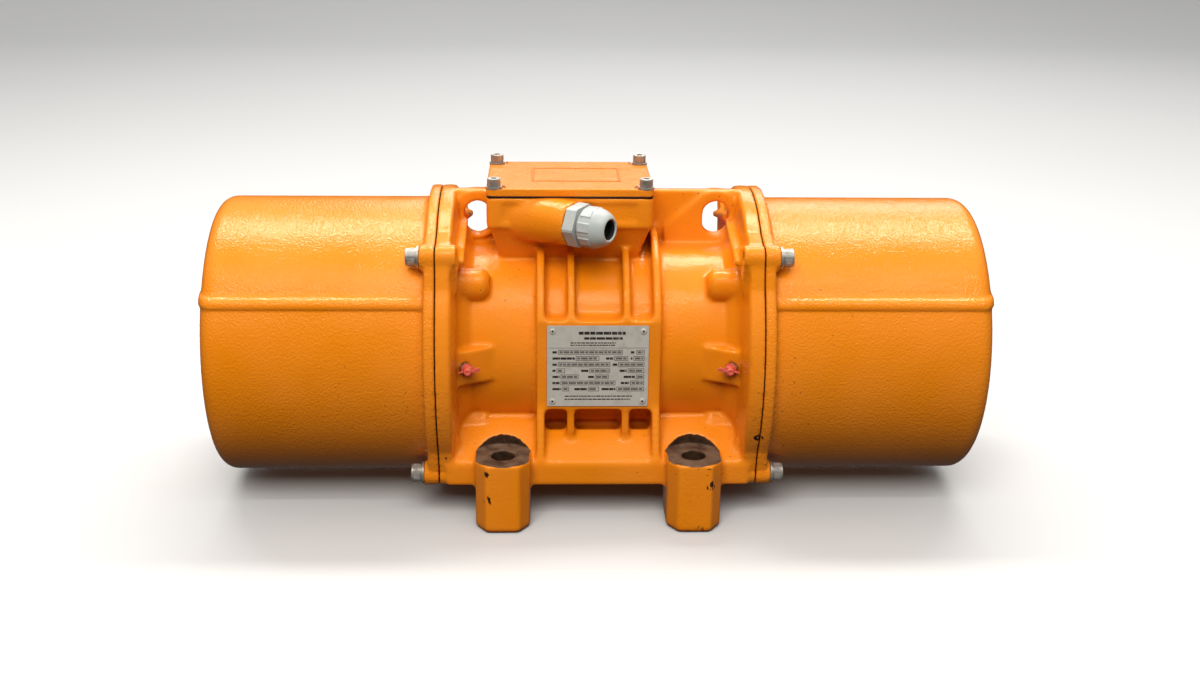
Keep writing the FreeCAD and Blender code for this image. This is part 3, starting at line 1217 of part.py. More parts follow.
# ================================================================ all nodes
def make_paired_nodes():
    """Pieces that the motor has once at each end."""
    pieces = {
        "weight_cover": weight_cover(),
        "cover_seal": seal_ring(),
        "bearing_shield": bearing_shield(),
        "bearing_cap": bearing_cap(),
        "bearing_outer_ring": bearing_outer_ring(),
        "bearing_inner_ring": bearing_inner_ring(),
        "bearing_rollers": bearing_rollers(),
        "bearing_cage": bearing_cage(),
        "shaft_spacer": shaft_spacer(),
        "fixed_weight": fixed_weight(),
        "weight_key": weight_key(),
        "fixed_clamp_bolt": clamp_bolt(SPACER_END_X),
        "scale_disc": scale_disc(),
        "adjustable_weight": adjustable_weight(),
        "adjustable_clamp_bolt": clamp_bolt(ADJUST_X),
        "shaft_circlip": shaft_circlip(),
        "grease_nipple": grease_nipple(),
        "grease_cap": grease_cap(),
    }
    for name, shape in pieces.items():
        export(name + "_right", shape)
        export(name + "_left", across_x(shape))


def make_single_nodes():
    """Pieces that the motor has once."""
    lid_screws, lid_washers = lid_fasteners()
    cover_screws, cover_washers = cover_fasteners()
    studs, link, nuts = terminal_hardware()
    gland_body, gland_nut, gland_seal = gland_parts()
    pieces = {
        "casing": casing_sections(),
        "lid_gasket": lid_gasket(),
        "terminal_lid": terminal_lid(),
        "lid_screws": lid_screws,
        "lid_washers": lid_washers,
        "terminal_board": terminal_board(),
        "terminal_studs": studs,
        "terminal_link": link,
        "terminal_nuts": nuts,
        "earth_screw": earth_screw(),
        "gland_body": gland_body,
        "gland_nut": gland_nut,
        "gland_seal": gland_seal,
        "nameplate": nameplate(),
        "nameplate_rivets": nameplate_rivets(),
        "stator_core": stator_core(),
        "stator_winding": group(both_ends(stator_winding())),
        "rotor_core": rotor_core(),
        "shaft": shaft(),
        "shield_screws": shield_screws(),
        "cap_screws": cap_screws(),
        "cover_screws": cover_screws,
        "cover_washers": cover_washers,
    }
    for name, shape in pieces.items():
        export(name, shape)


os.makedirs("parts", exist_ok=True)
make_single_nodes()
make_paired_nodes()
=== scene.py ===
"""Looks, lights and camera of the foot-mounted vibration motor."""

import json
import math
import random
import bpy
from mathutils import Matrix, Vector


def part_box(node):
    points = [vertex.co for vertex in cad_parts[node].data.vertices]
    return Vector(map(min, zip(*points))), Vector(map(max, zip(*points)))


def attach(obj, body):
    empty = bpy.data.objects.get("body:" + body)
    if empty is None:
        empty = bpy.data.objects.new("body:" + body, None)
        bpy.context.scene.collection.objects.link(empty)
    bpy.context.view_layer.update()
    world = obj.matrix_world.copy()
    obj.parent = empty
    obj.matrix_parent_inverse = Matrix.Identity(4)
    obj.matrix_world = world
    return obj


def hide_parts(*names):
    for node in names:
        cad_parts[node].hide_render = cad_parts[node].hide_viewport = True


bl_info = {
    "name": "Vibration motor finish",
    "version": (1, 0, 0),
    "blender": (4, 5, 0),
    "location": "3D View > Sidebar > Motor",
    "description": "Gives the packed vibration motor its cast skin, finishes, small details and studio",
    "category": "Object",
}

import bmesh
import bpy
from mathutils import Matrix, Vector

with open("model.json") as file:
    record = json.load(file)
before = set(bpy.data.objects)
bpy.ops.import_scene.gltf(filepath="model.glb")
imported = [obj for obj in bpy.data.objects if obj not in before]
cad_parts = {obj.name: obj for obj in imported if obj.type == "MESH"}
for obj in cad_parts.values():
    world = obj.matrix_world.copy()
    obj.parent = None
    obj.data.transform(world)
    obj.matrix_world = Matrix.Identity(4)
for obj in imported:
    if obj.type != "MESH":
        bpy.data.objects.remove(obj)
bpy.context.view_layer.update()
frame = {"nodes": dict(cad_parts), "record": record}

MM = 0.001
HOUSING = "housing"
UP = Vector((0, 0, 1))
ALONG = Vector((1, 0, 0))
FRONTWARD = Vector((0, -1, 0))
LOOK_NAMES = {}

# Places where the enamel is knocked off: middle and reach in millimetres, and the share that is gone.
KNOCKS = (
    ((-82, -117, 47), 7, 0.54),
    ((-83, -116, 26), 15, 0.42),
    ((82, -117, 36), 15, 0.50),
    ((70, -117, 1), 20, 0.42),
    ((-68, -117, 1), 16, 0.38),
    ((114, -110, 86), 11, 0.46),
    ((115, -104, 70), 10, 0.50),
    ((114, -95, 54), 9, 0.44),
    ((-111, -96, 50), 5, 0.56),
    ((-111, -113, 122), 10, 0.36),
    ((-112, -108, 84), 7, 0.38),
    ((-58, -88, 104), 3, 0.6),
)

# Bands of the feet's machined faces, each as (where it starts, where it is full).
CUT_FLOOR = (52.0 * MM, 52.5 * MM)
CUT_ROOF = (79.0 * MM, 77.0 * MM)
CUT_RIM = (23.2 * MM, 22.8 * MM)
DRILL_RIM = (9.6 * MM, 9.0 * MM)
DRILL_ROOF = (55.0 * MM, 54.0 * MM)
SOLE = (0.9 * MM, 0.3 * MM)
SEAT_ROOF = (54.4 * MM, 53.6 * MM)
SEAT_HOLE = (8.6 * MM, 9.4 * MM)

# Bolt lugs: half widths at their round end and at their foot, and heights from the screw's middle outwards.
LUG_ROUND = 9.0 * MM
LUG_FOOT = 27.0 * MM
LUG_INNER = 0.62 * LUG_ROUND
LUG_OUTER = 0.94 * LUG_ROUND
LUG_ROOT = -14.0 * MM
LUG_SHOULDER = -7.2 * MM
LUG_CREST = 3.2 * MM
CASING_LUG_DEPTH = 10.5 * MM
COVER_LUG_DEPTH = 7.9 * MM

# Parting bead of a cover: height over the shaft, width, reach from the shaft, corner at the cover's end,
# depth down into the wall, and how far it starts and stops from the cover's ends.
BEAD_RISE = 51.2 * MM
BEAD_TALL = 5.6 * MM
BEAD_RADIUS = 107.7 * MM
BEAD_CORNER = 12.5 * MM
BEAD_DEPTH = 4.5 * MM
BEAD_START = 4.0 * MM
BEAD_SHORT = 0.05 * MM

# Screw heads: across the head over its height, and where the knurl starts and ends as shares of that height.
HEAD_ASPECT = 1.6
KNURL_START = -0.85
KNURL_END = -0.2

# Clamping nut of the gland: (radius in millimetres, share of its height), and its grips.
GLAND_DOME = (
    (12.2, 0.01), (13.8, 0.02), (14.3, 0.06), (14.3, 0.50), (14.1, 0.57), (13.6, 0.66), (12.7, 0.76),
    (11.5, 0.86), (10.2, 0.935), (9.0, 0.975), (8.3, 0.985), (7.7, 0.97), (7.35, 0.93), (7.3, 0.72),
    (11.1, 0.70), (11.1, 0.01),
)
GLAND_LIP = ((7.28, 0.70), (7.28, 0.93), (7.0, 0.945), (6.7, 0.93), (6.5, 0.70))
GRIP_RADIUS = 14.3 * MM
GRIP_PROUD = 0.8 * MM
GRIP_SHARE = 0.72

# Grease caps in millimetres: (radius, height) of the crown, and (way outwards, height) along the straps.
CAP_CROWN = (
    (0.0, 0.25), (0.9, 0.3), (1.3, 0.75), (1.9, 0.8), (2.5, 0.45), (3.0, -0.5), (3.3, -2.4), (0.0, -2.4),
)
CAP_STRAPS = (
    ((3.2, 0.2), (5.6, 1.6), (8.0, 2.8), (8.6, 1.2), (6.0, 0.2), (3.2, -0.6)),
    ((-3.2, -0.4), (-5.0, -0.2), (-6.6, -1.4)),
)
STRAP_RADIUS = 0.75 * MM
STRAP_INSET = 1.6 * MM

# Nameplate in millimetres from its middle: fields as (left and end of the label, right of the frame), and
# lines of words and a rule as (left, right, low, high).
PLATE_FIELDS = (
    ((-33, -29, 18), (24, 28, 34)),
    ((-33, -16, 1), (6, 12, 22), (24, 26, 34)),
    ((-33, -29, 9), (11, 15, 34)),
    ((-33, -30, -24), (-12, -6, 9), (16, 22, 34)),
    ((-33, -27, -14), (-7, -2, 8), (19, 28, 34)),
    ((-33, -27, 13), (17, 24, 34)),
    ((-33, -26, -21), (-17, -7, 1), (3, 14, 34)),
)
PLATE_LINES = (
    (-14, 20, 24.4, 26.6), (-10, 18, 20.6, 22.4), (-20, 13, 17.6, 18.5), (-20, 13, 15.8, 16.7),
    (-24, 26, -23.6, -22.7), (-24, 24, -26.0, -25.1),
)
PLATE_RULE = (-35.5, 35.5, 14.0, 14.25)
FIELD_TOP = 12.6
FIELD_PITCH = 4.75
FIELD_TALL = 3.4
FIELD_LINE = 0.34
# Black disc on each rivet's face, painted shade standing for its hollow centre: (radius, height) in
# millimetres.
RIVET_HOLE_SHADE = ((0.0, 0.06), (0.75, 0.06), (0.85, -0.1), (0.0, -0.1))

# Studio floor: front edge, start and radius of the sweep, top of the backdrop, and half the width.
FLOOR_FRONT = -6.0
FLOOR_BACK = 2.6
FLOOR_SWEEP = 1.2
BACKDROP_TOP = 6.0
FLOOR_HALF = 7.0
LIGHT_TARGET = (0.0, 0.0, 0.12)
WARM_LIGHT = (1.0, 0.97, 0.91)
WHITE_LIGHT = (1.0, 1.0, 1.0)


# ------------------------------------------------------------------ settings
class MotorFinishSettings(bpy.types.PropertyGroup):
    """Colours and sizes of the motor's finish."""

    paint: bpy.props.FloatVectorProperty(
        name="Paint",
        description="Colour of the enamel on the casting and the covers",
        subtype="COLOR",
        size=3,
        min=0.0,
        max=1.0,
        default=(0.78, 0.220, 0.003),
    )
    # Painted shade: the darker enamel colour given to corners hidden from the sky, standing in for the shade
    # that falls there.
    crevice_shade: bpy.props.FloatVectorProperty(
        name="Crevice paint",
        description="Deeper colour of the enamel where it gathers in corners",
        subtype="COLOR",
        size=3,
        min=0.0,
        max=1.0,
        default=(0.38, 0.062, 0.001),
    )
    voxel: bpy.props.FloatProperty(
        name="Casting voxel",
        description="Grid size that the casting's skin is rebuilt with",
        unit="LENGTH",
        min=0.001,
        max=0.005,
        default=0.0016,
    )
    smoothing: bpy.props.IntProperty(
        name="Casting smoothing",
        description="Smoothing passes that round the casting's edges and corners",
        min=0,
        max=40,
        default=6,
    )
    skin_faces: bpy.props.IntProperty(
        name="Casting triangles",
        description="Triangles left in the casting's skin",
        min=10000,
        max=195000,
        default=190000,
    )
    peel: bpy.props.FloatProperty(
        name="Orange peel",
        description="Height of the enamel's orange peel",
        unit="LENGTH",
        min=0.0,
        max=0.002,
        default=0.00046,
    )
    wear: bpy.props.FloatProperty(
        name="Wear",
        description="Share of the edges where the enamel is chipped",
        subtype="FACTOR",
        min=0.0,
        max=1.0,
        default=0.35,
    )
    seed: bpy.props.IntProperty(
        name="Seed",
        description="Seed of the fasteners' turns and the plate's field lengths",
        min=0,
        default=7,
    )


class StudioSettings(bpy.types.PropertyGroup):
    """Camera and lights of the studio."""

    lens: bpy.props.FloatProperty(
        name="Lens", description="Focal length", unit="CAMERA", default=45.5, min=10, max=200
    )
    eye: bpy.props.FloatVectorProperty(
        name="Camera place",
        description="Where the camera stands",
        subtype="TRANSLATION",
        size=3,
        default=(-0.0398, -1.1229, 0.4863),
    )
    yaw: bpy.props.FloatProperty(
        name="Yaw", description="Turn of the camera towards +X", subtype="ANGLE", default=math.radians(2.219)
    )
    pitch: bpy.props.FloatProperty(
        name="Pitch", description="Tilt of the camera below the horizon", subtype="ANGLE",
        default=math.radians(18.408),
    )
    roll: bpy.props.FloatProperty(
        name="Roll", description="Turn of the camera about its own axis", subtype="ANGLE",
        default=math.radians(0.712),
    )
    key: bpy.props.FloatProperty(
        name="Key light", description="Power of the overhead strip", unit="POWER", default=32.0, min=0
    )
    fill: bpy.props.FloatProperty(
        name="Fill light", description="Power of the high front softbox", unit="POWER", default=54.0, min=0
    )
    sky: bpy.props.FloatProperty(
        name="Sky", description="Strength of the surrounding light overhead", default=0.8, min=0
    )


# ----------------------------------------------------------------- materials
class Look:
    """A material's node tree, with short ways to add and wire its nodes."""

    def __init__(self, name):
        self.material = bpy.data.materials.new(name)
        self.material.use_nodes = True
        self.tree = self.material.node_tree
        self.tree.nodes.clear()
        self.shader = self.add("ShaderNodeBsdfPrincipled")
        self.add("ShaderNodeOutputMaterial", {"Surface": self.shader.outputs["BSDF"]})
        self.place = self.add("ShaderNodeTexCoord").outputs["Object"]

    def add(self, kind, values=None, **settings):
        """One node, with its options set and its inputs wired or filled."""
        node = self.tree.nodes.new(kind)
        for name, value in settings.items():
            setattr(node, name, value)
        for key, value in (values or {}).items():
            if isinstance(value, bpy.types.NodeSocket):
                self.tree.links.new(value, node.inputs[key])
            else:
                node.inputs[key].default_value = value
        return node

    def set(self, **values):
        """Wires or fills the shader's inputs. An underscore stands for a space."""
        for name, value in values.items():
            socket = self.shader.inputs[name.replace("_", " ")]
            if isinstance(value, bpy.types.NodeSocket):
                self.tree.links.new(value, socket)
            elif socket.type == "RGBA":
                socket.default_value = (*value, 1.0)
            else:
                socket.default_value = value

    def math(self, operation, *terms):
        """A math node's result."""
        return self.add("ShaderNodeMath", dict(enumerate(terms)), operation=operation).outputs[0]

    def axes(self):
        """The object coordinates one by one."""
        return self.add("ShaderNodeSeparateXYZ", {0: self.place}).outputs

    def noise(self, scale, detail=2.0, roughness=0.5, stretch=(1, 1, 1)):
        """Noise of that many periods per metre, stretched along the axes."""
        place = self.add("ShaderNodeMapping", {"Vector": self.place, "Scale": stretch}).outputs[0]
        values = {"Vector": place, "Scale": scale, "Detail": detail, "Roughness": roughness}
        return self.add("ShaderNodeTexNoise", values).outputs[0]

    def span(self, value, start, end, low=0.0, high=1.0):
        """value carried from start..end to low..high, and held there beyond them."""
        values = {0: value, 1: start, 2: end, 3: low, 4: high}
        return self.add("ShaderNodeMapRange", values, clamp=True).outputs[0]

    def mix(self, factor, first, second):
        """A colour between two colours."""
        node = self.add("ShaderNodeMix", {0: factor}, data_type="RGBA")
        for key, value in ((6, first), (7, second)):
            if isinstance(value, bpy.types.NodeSocket):
                self.tree.links.new(value, node.inputs[key])
            else:
                node.inputs[key].default_value = (*value, 1.0)
        return node.outputs[2]

    def bump(self, height, distance, normal=None):
        """The normal over a height of that distance."""
        values = {"Height": height, "Distance": distance, "Strength": 1.0}
        if normal is not None:
            values["Normal"] = normal
        return self.add("ShaderNodeBump", values).outputs[0]

    def bevel(self, radius):
        """The normal with edges rounded to that radius."""
        return self.add("ShaderNodeBevel", {"Radius": radius}, samples=6).outputs[0]

    def edges(self, radius):
        """How far the surface turns within that radius, 0 on a flat face."""
        facing = self.add("ShaderNodeNewGeometry").outputs["Normal"]
        dot = self.add("ShaderNodeVectorMath", {0: self.bevel(radius), 1: facing}, operation="DOT_PRODUCT")
        return self.math("SUBTRACT", 1.0, dot.outputs["Value"])

    def corners(self, reach, start, end):
        """1 in corners that are hidden from the sky within that reach, 0 in the open: the mask that paints
        shade into corners.
        """
        hidden = self.add("ShaderNodeAmbientOcclusion", {"Distance": reach}, samples=6)
        return self.span(hidden.outputs["AO"], start, end)


def iron_colour(look):
    """Bare cast iron with a skin of brown rust."""
    rust = look.span(look.noise(160, 6.0, 0.65), 0.42, 0.62)
    return look.mix(rust, (0.040, 0.017, 0.008), (0.012, 0.005, 0.003))


def seat_colour(look):
    """Faced iron of the foot seats, browned in patches."""
    brown = look.span(look.noise(90, 5.0, 0.6), 0.40, 0.66)
    return look.mix(brown, (0.155, 0.098, 0.062), (0.060, 0.030, 0.017))


def foot_cuts(look):
    """1 on the faces that the spot-facing cutter and the drill leave bare, and 1 on the flat ones."""
    spots = next(m for m in frame["record"]["mounts"] if m["name"] == "foot_bolts")["dims"]
    x, y, z = look.axes()
    away_x = look.math("SUBTRACT", look.math("ABSOLUTE", x), spots["spacing_x_mm"] * MM / 2)
    away_y = look.math("SUBTRACT", look.math("ABSOLUTE", y), spots["spacing_y_mm"] * MM / 2)
    away = look.math("SQRT", look.math("ADD", look.math("MULTIPLY", away_x, away_x),
                                       look.math("MULTIPLY", away_y, away_y)))
    rough = look.math("MULTIPLY_ADD", look.noise(300, 4.0, 0.6), 1.6 * MM, away)
    above = look.math("MULTIPLY", look.span(z, *CUT_FLOOR), look.span(z, *CUT_ROOF))
    cut = look.math("MULTIPLY", look.span(rough, *CUT_RIM), above)
    drilled = look.math("MULTIPLY", look.span(away, *DRILL_RIM), look.span(z, *DRILL_ROOF))
    flat = look.math("MULTIPLY", look.span(z, *SEAT_ROOF), look.span(away, *SEAT_HOLE))
    return look.math("MAXIMUM", look.math("MAXIMUM", cut, drilled), look.span(z, *SOLE)), flat


def knocks(look):
    """1 where the enamel has been knocked off: places on edges, each with its reach and how much is gone."""
    flaw = look.noise(190, 7.0, 0.7, (1.0, 1.0, 0.45))
    bare = None
    for place, reach, share in KNOCKS:
        ends = {0: look.place, 1: tuple(c * MM for c in place)}
        away = look.add("ShaderNodeVectorMath", ends, operation="DISTANCE")
        near = look.span(away.outputs["Value"], reach * MM, 0.25 * reach * MM, 0.0, share)
        hit = look.span(look.math("ADD", flaw, near), 0.98, 1.0)
        bare = hit if bare is None else look.math("MAXIMUM", bare, hit)
    return bare


def bare_places(look, settings):
    """1 where the enamel is gone: chipped edges, specks, knocks and the joint between casing and cover."""
    flaw = look.noise(120, 8.0, 0.62)
    least = 0.74 - 0.2 * settings.wear
    sharp = look.span(look.edges(1.6 * MM), 0.05, 0.12)
    chipped = look.math("MULTIPLY", sharp, look.span(flaw, least, least + 0.02))
    patch = look.span(look.noise(11, 2.0), 0.50, 0.60)
    specks = look.math("MULTIPLY", look.span(look.noise(330, 3.0, 0.6), 0.695, 0.715), patch)
    bare = look.math("MAXIMUM", chipped, specks)
    bare = look.math("MAXIMUM", bare, knocks(look))
    out = look.math("ABSOLUTE", look.axes()[0])
    away = look.math("ABSOLUTE", look.math("SUBTRACT", out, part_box("casing")[1].x))
    return look.math("MAXIMUM", bare, look.span(away, 0.6 * MM, 0.3 * MM))


def enamel_relief(look, settings, cast):
    """The normal over the swell of the casting, the enamel's orange peel and its fine grit."""
    thick = look.span(look.noise(16, 2.0), 0.40, 0.62, 0.35, 1.0) if cast else 1.0
    peel = look.math("MULTIPLY", look.noise(620, 1.5, 0.4), thick)
    normal = None if cast else look.bevel(1.1 * MM)
    normal = look.bump(look.noise(45, 2.0, 0.5), (0.4 if cast else 0.2) * MM, normal)
    normal = look.bump(peel, settings.peel * (0.7 if cast else 1.0), normal)
    return look.bump(look.noise(1300, 3.0, 0.6), (0.10 if cast else 0.05) * MM, normal)


def paint_look(name, settings, cast):
    """Thick orange enamel. cast is True on the rough casting and False on the smoother covers."""
    look = Look(name)
    patchy = look.span(look.noise(14, 4.0), 0.35, 0.68)
    lighter = tuple(min(1.0, c * 1.06 + 0.012) for c in settings.paint)
    colour = look.mix(patchy, settings.paint, lighter)
    # Painted shade: corners hidden from the sky get the darker crevice colour.
    corner = look.corners(9 * MM, 0.75, 0.35)
    colour = look.mix(corner, colour, settings.crevice_shade)
    bare = bare_places(look, settings)
    iron = iron_colour(look)
    if cast:
        cut, flat = foot_cuts(look)
        bare = look.math("MAXIMUM", bare, cut)
        iron = look.mix(look.math("MULTIPLY", cut, flat), iron, seat_colour(look))
    rough = look.span(look.noise(60, 4.0), 0.3, 0.7, 0.09, 0.17)
    look.set(
        Base_Color=look.mix(bare, colour, iron),
        Roughness=look.math("MAXIMUM", rough, look.math("MULTIPLY", bare, 0.85)),
        Normal=enamel_relief(look, settings, cast),
        IOR=1.5,
        Specular_IOR_Level=0.5,
        Specular_Tint=(1.0, 0.90, 0.68),
    )
    return look.material


def metal_look(name, colour, dark, roughness, grain=(1, 1, 1), metallic=1.0, rounding=0.35):
    """Metal with a fine grain that can run along one axis, dirt in patches, and painted shade in its corners.
    """
    look = Look(name)
    lay = look.noise(900, 4.0, 0.6, grain)
    dirt = look.span(look.noise(180, 5.0, 0.6), 0.45, 0.75)
    # Painted shade: corners hidden from the sky are darkened, together with the patches of dirt.
    corner = look.corners(2.5 * MM, 0.8, 0.3)
    look.set(
        Base_Color=look.mix(look.math("MAXIMUM", corner, look.math("MULTIPLY", dirt, 0.5)), colour, dark),
        Metallic=metallic,
        Roughness=look.span(lay, 0.3, 0.7, roughness * 0.75, roughness * 1.3),
        Normal=look.bump(lay, 0.05 * MM, look.bevel(rounding * MM)),
    )
    return look.material


def moulded_look(name, colour, roughness, speckle=0.1, rounding=0.5, subsurface=0.0):
    """Moulded plastic or rubber with a fine texture, a little colour change and painted shade in its corners.
    """
    look = Look(name)
    cloud = look.span(look.noise(110, 4.0), 0.35, 0.7)
    dark = tuple(c * (1 - 2.2 * speckle) for c in colour)
    shade = look.mix(cloud, colour, tuple(c * (1 - speckle) for c in colour))
    look.set(
        # Painted shade: corners hidden from the sky are darkened.
        Base_Color=look.mix(look.corners(2.0 * MM, 0.8, 0.3), shade, dark),
        Roughness=look.span(look.noise(700, 3.0), 0.3, 0.7, roughness * 0.85, roughness * 1.15),
        Normal=look.bump(look.noise(1500, 2.0), 0.05 * MM, look.bevel(rounding * MM)),
        Subsurface_Weight=subsurface,
        Subsurface_Scale=2 * MM,
        IOR=1.48,
    )
    return look.material


def layered_look(name, colour, dark, axis, pitch, roughness, metallic):
    """Sheets or turns lying side by side along an axis, such as laminations or wire."""
    look = Look(name)
    along = look.axes()[axis]
    wave = look.math("SINE", look.math("MULTIPLY", along, 2 * math.pi / pitch))
    look.set(
        Base_Color=look.mix(look.span(wave, -1.0, 0.2), dark, colour),
        Metallic=metallic,
        Roughness=look.span(look.noise(500, 3.0), 0.3, 0.7, roughness * 0.8, roughness * 1.2),
        Normal=look.bump(wave, 0.15 * pitch),
    )
    return look.material


def make_looks(settings):
    """Every finish of the motor by the record's slot name."""
    return {
        "orange_paint": paint_look("orange_enamel_on_cover", settings, False),
        "cast_paint": paint_look("orange_enamel_on_casting", settings, True),
        "zinc_steel": metal_look(
            "zinc_plated_steel", (0.56, 0.53, 0.48), (0.17, 0.13, 0.09), 0.42, metallic=0.75
        ),
        "gland_plastic": moulded_look("grey_gland_plastic", (0.46, 0.49, 0.47), 0.42, 0.12),
        "black_rubber": moulded_look("black_rubber", (0.014, 0.014, 0.015), 0.6, 0.2),
        "plate_aluminium": metal_look(
            "brushed_aluminium", (0.62, 0.59, 0.53), (0.40, 0.37, 0.31), 0.42, (0.04, 1, 1), 0.25, 0.2
        ),
        "raw_iron": metal_look("machined_iron", (0.25, 0.24, 0.23), (0.08, 0.06, 0.05), 0.5),
        "bearing_steel": metal_look("ground_bearing_steel", (0.62, 0.62, 0.63), (0.3, 0.3, 0.3), 0.2),
        "cage_brass": metal_look("cage_brass", (0.72, 0.47, 0.16), (0.3, 0.17, 0.05), 0.3),
        "core_steel": layered_look(
            "core_laminations", (0.32, 0.32, 0.34), (0.07, 0.07, 0.08), 0, 1.0 * MM, 0.5, 0.9
        ),
        "winding_copper": layered_look(
            "enamelled_copper_turns", (0.60, 0.20, 0.06), (0.16, 0.04, 0.015), 0, 1.4 * MM, 0.3, 0.6
        ),
        "board_plastic": moulded_look("terminal_board_resin", (0.05, 0.04, 0.035), 0.4, 0.15),
        "terminal_brass": metal_look("terminal_brass", (0.74, 0.52, 0.22), (0.35, 0.2, 0.08), 0.28),
        "cap_red_rubber": moulded_look("red_cap_rubber", (0.66, 0.115, 0.075), 0.36, 0.12, 0.6, 0.15),
    }


def ink_look(name, colour, roughness):
    """Printed or stamped ink, a little worn."""
    look = Look(name)
    worn = look.span(look.noise(900, 5.0, 0.7), 0.56, 0.70)
    look.set(
        Base_Color=look.mix(worn, colour, (0.30, 0.28, 0.24)),
        Roughness=roughness,
        Metallic=0.1,
        Normal=look.bump(look.noise(1400, 2.0), 0.02 * MM),
    )
    return look.material


def look_of(slot):
    """The material made for a slot by the first step."""
    return bpy.data.materials[LOOK_NAMES[slot]]


# -------------------------------------------------------------------- pieces
def dress(node, material):
    """Gives a CAD node its finish."""
    mesh = frame["nodes"][node].data
    mesh.materials.clear()
    mesh.materials.append(material)


def add_piece(name, mesh, material, smooth=True):
    """A finished mesh as a piece of the motor that rides on the housing."""
    piece = bpy.data.objects.new(name, mesh)
    bpy.context.scene.collection.objects.link(piece)
    mesh.materials.clear()
    mesh.materials.append(material)
    if smooth:
        mesh.shade_smooth()
    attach(piece, HOUSING)
    return piece


def mesh_from(name, bm):
    """A mesh of a bmesh, faces outward."""
    bmesh.ops.recalc_face_normals(bm, faces=bm.faces)
    mesh = bpy.data.meshes.new(name)
    bm.to_mesh(mesh)
    bm.free()
    return mesh


def evaluated_mesh(holder, name):
    """The holder's mesh with its modifiers applied. The holder goes."""
    graph = bpy.context.evaluated_depsgraph_get()
    mesh = bpy.data.meshes.new_from_object(holder.evaluated_get(graph))
    mesh.name = name
    bpy.data.objects.remove(holder)
    return mesh


def holder_of(name, mesh):
    """An object that only carries modifiers for a while."""
    holder = bpy.data.objects.new(name, mesh)
    bpy.context.scene.collection.objects.link(holder)
    return holder


def prism(bm, outline, start, end, place):
    """A closed prism over an outline, between two heights. place turns (u, v, height) into a point."""
    low, high = ([bm.verts.new(place(u, v, height)) for u, v in outline] for height in (start, end))
    bm.faces.new(low)
    bm.faces.new(high)
    for at in range(len(outline)):
        after = (at + 1) % len(outline)
        bm.faces.new((low[at], low[after], high[after], high[at]))


def lug_flares(bm, side, start, end):
    """Wedges that carry the four bolt lugs of one end down into the round flange."""
    low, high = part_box("shaft")
    axis_z = low.z + (high.z - low.z) / 2
    screws = [(low + high) / 2 for low, high in solids_of("cover_screws") if (low.x + high.x) * side > 0]
    for centre in screws:
        out = Vector((0.0, centre.y, centre.z - axis_z))
        reach = out.length
        out.normalize()
        round_it = ALONG.cross(out)
        for flank in (-1, 1):
            outline = [
                (flank * LUG_FOOT, reach + LUG_ROOT), (flank * LUG_FOOT, reach + LUG_SHOULDER),
                (flank * LUG_OUTER, reach + LUG_CREST), (flank * LUG_INNER, reach + LUG_CREST),
                (flank * LUG_INNER, reach + LUG_ROOT),
            ]
            prism(bm, outline, start, end,
                  lambda u, v, x: round_it * u + out * v + Vector((side * x, 0.0, axis_z)))


def parting_bead(bm, node, side):
    """The bead of the mould's parting line, along both flanks of a weight cover and across its end."""
    low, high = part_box(node)
    axis_z = (low.z + high.z) / 2
    end = max(abs(low.x), abs(high.x)) - BEAD_SHORT
    start = min(abs(low.x), abs(high.x)) + BEAD_START
    loops = []
    for drop, inward in ((-0.5, 0.0), (0.5, 0.0), (0.5, BEAD_DEPTH), (-0.5, BEAD_DEPTH)):
        rise = BEAD_RISE + drop * BEAD_TALL
        tip, radius = end - inward - BEAD_CORNER, BEAD_RADIUS - inward
        half = [(start, radius)]
        half += [(tip + BEAD_CORNER * math.sin(turn), radius - BEAD_CORNER + BEAD_CORNER * math.cos(turn))
                 for turn in (math.radians(9 * step) for step in range(11))]
        half = [(x, math.sqrt(r * r - rise * rise)) for x, r in half]
        rail = [(x, -y) for x, y in half] + [(x, y) for x, y in reversed(half)]
        loops.append([bm.verts.new((side * x, y, axis_z + rise)) for x, y in rail])
    for at in range(4):
        first, second = loops[at], loops[(at + 1) % 4]
        for step in range(len(first) - 1):
            bm.faces.new((first[step], first[step + 1], second[step + 1], second[step]))
    bm.faces.new([loop[0] for loop in loops])
    bm.faces.new([loop[-1] for loop in loops])


def with_forms(name, node, forms):
    """A holder with the node's own mesh and the closed forms that its skin takes in."""
    extra = mesh_from(name + "_forms", forms)
    bm = bmesh.new()
    bm.from_mesh(frame["nodes"][node].data)
    bm.from_mesh(extra)
    mesh = bpy.data.meshes.new(name)
    bm.to_mesh(mesh)
    bm.free()
    bpy.data.meshes.remove(extra)
    return holder_of(name, mesh)


def casting_skin(name, node, forms, passes, settings):
    """The node's form rebuilt with the soft edges and filled corners of a sand casting."""
    holder = with_forms(name, node, forms)
    remesh = holder.modifiers.new("Voxels", "REMESH")
    remesh.mode = "VOXEL"
    remesh.voxel_size = settings.voxel
    smooth = holder.modifiers.new("Soft", "SMOOTH")
    smooth.factor = 0.5
    smooth.iterations = passes
    graph = bpy.context.evaluated_depsgraph_get()
    triangles = 2 * len(holder.evaluated_get(graph).data.polygons)
    thin = holder.modifiers.new("Thin", "DECIMATE")
    thin.ratio = min(1.0, settings.skin_faces / triangles)
    return evaluated_mesh(holder, name)


def solids_of(node):
    """The lowest and highest corner of each solid in a CAD node."""
    bm = bmesh.new()
    bm.from_mesh(frame["nodes"][node].data)
    bmesh.ops.remove_doubles(bm, verts=bm.verts, dist=0.002 * MM)
    left = set(bm.verts)
    boxes = []
    while left:
        reached = [left.pop()]
        low, high = reached[0].co.copy(), reached[0].co.copy()
        while reached:
            vertex = reached.pop()
            low = Vector(map(min, low, vertex.co))
            high = Vector(map(max, high, vertex.co))
            for edge in vertex.link_edges:
                other = edge.other_vert(vertex)
                if other in left:
                    left.remove(other)
                    reached.append(other)
        boxes.append((low, high))
    bm.free()
    return sorted(boxes, key=lambda box: tuple(round(c, 5) for c in box[0]))


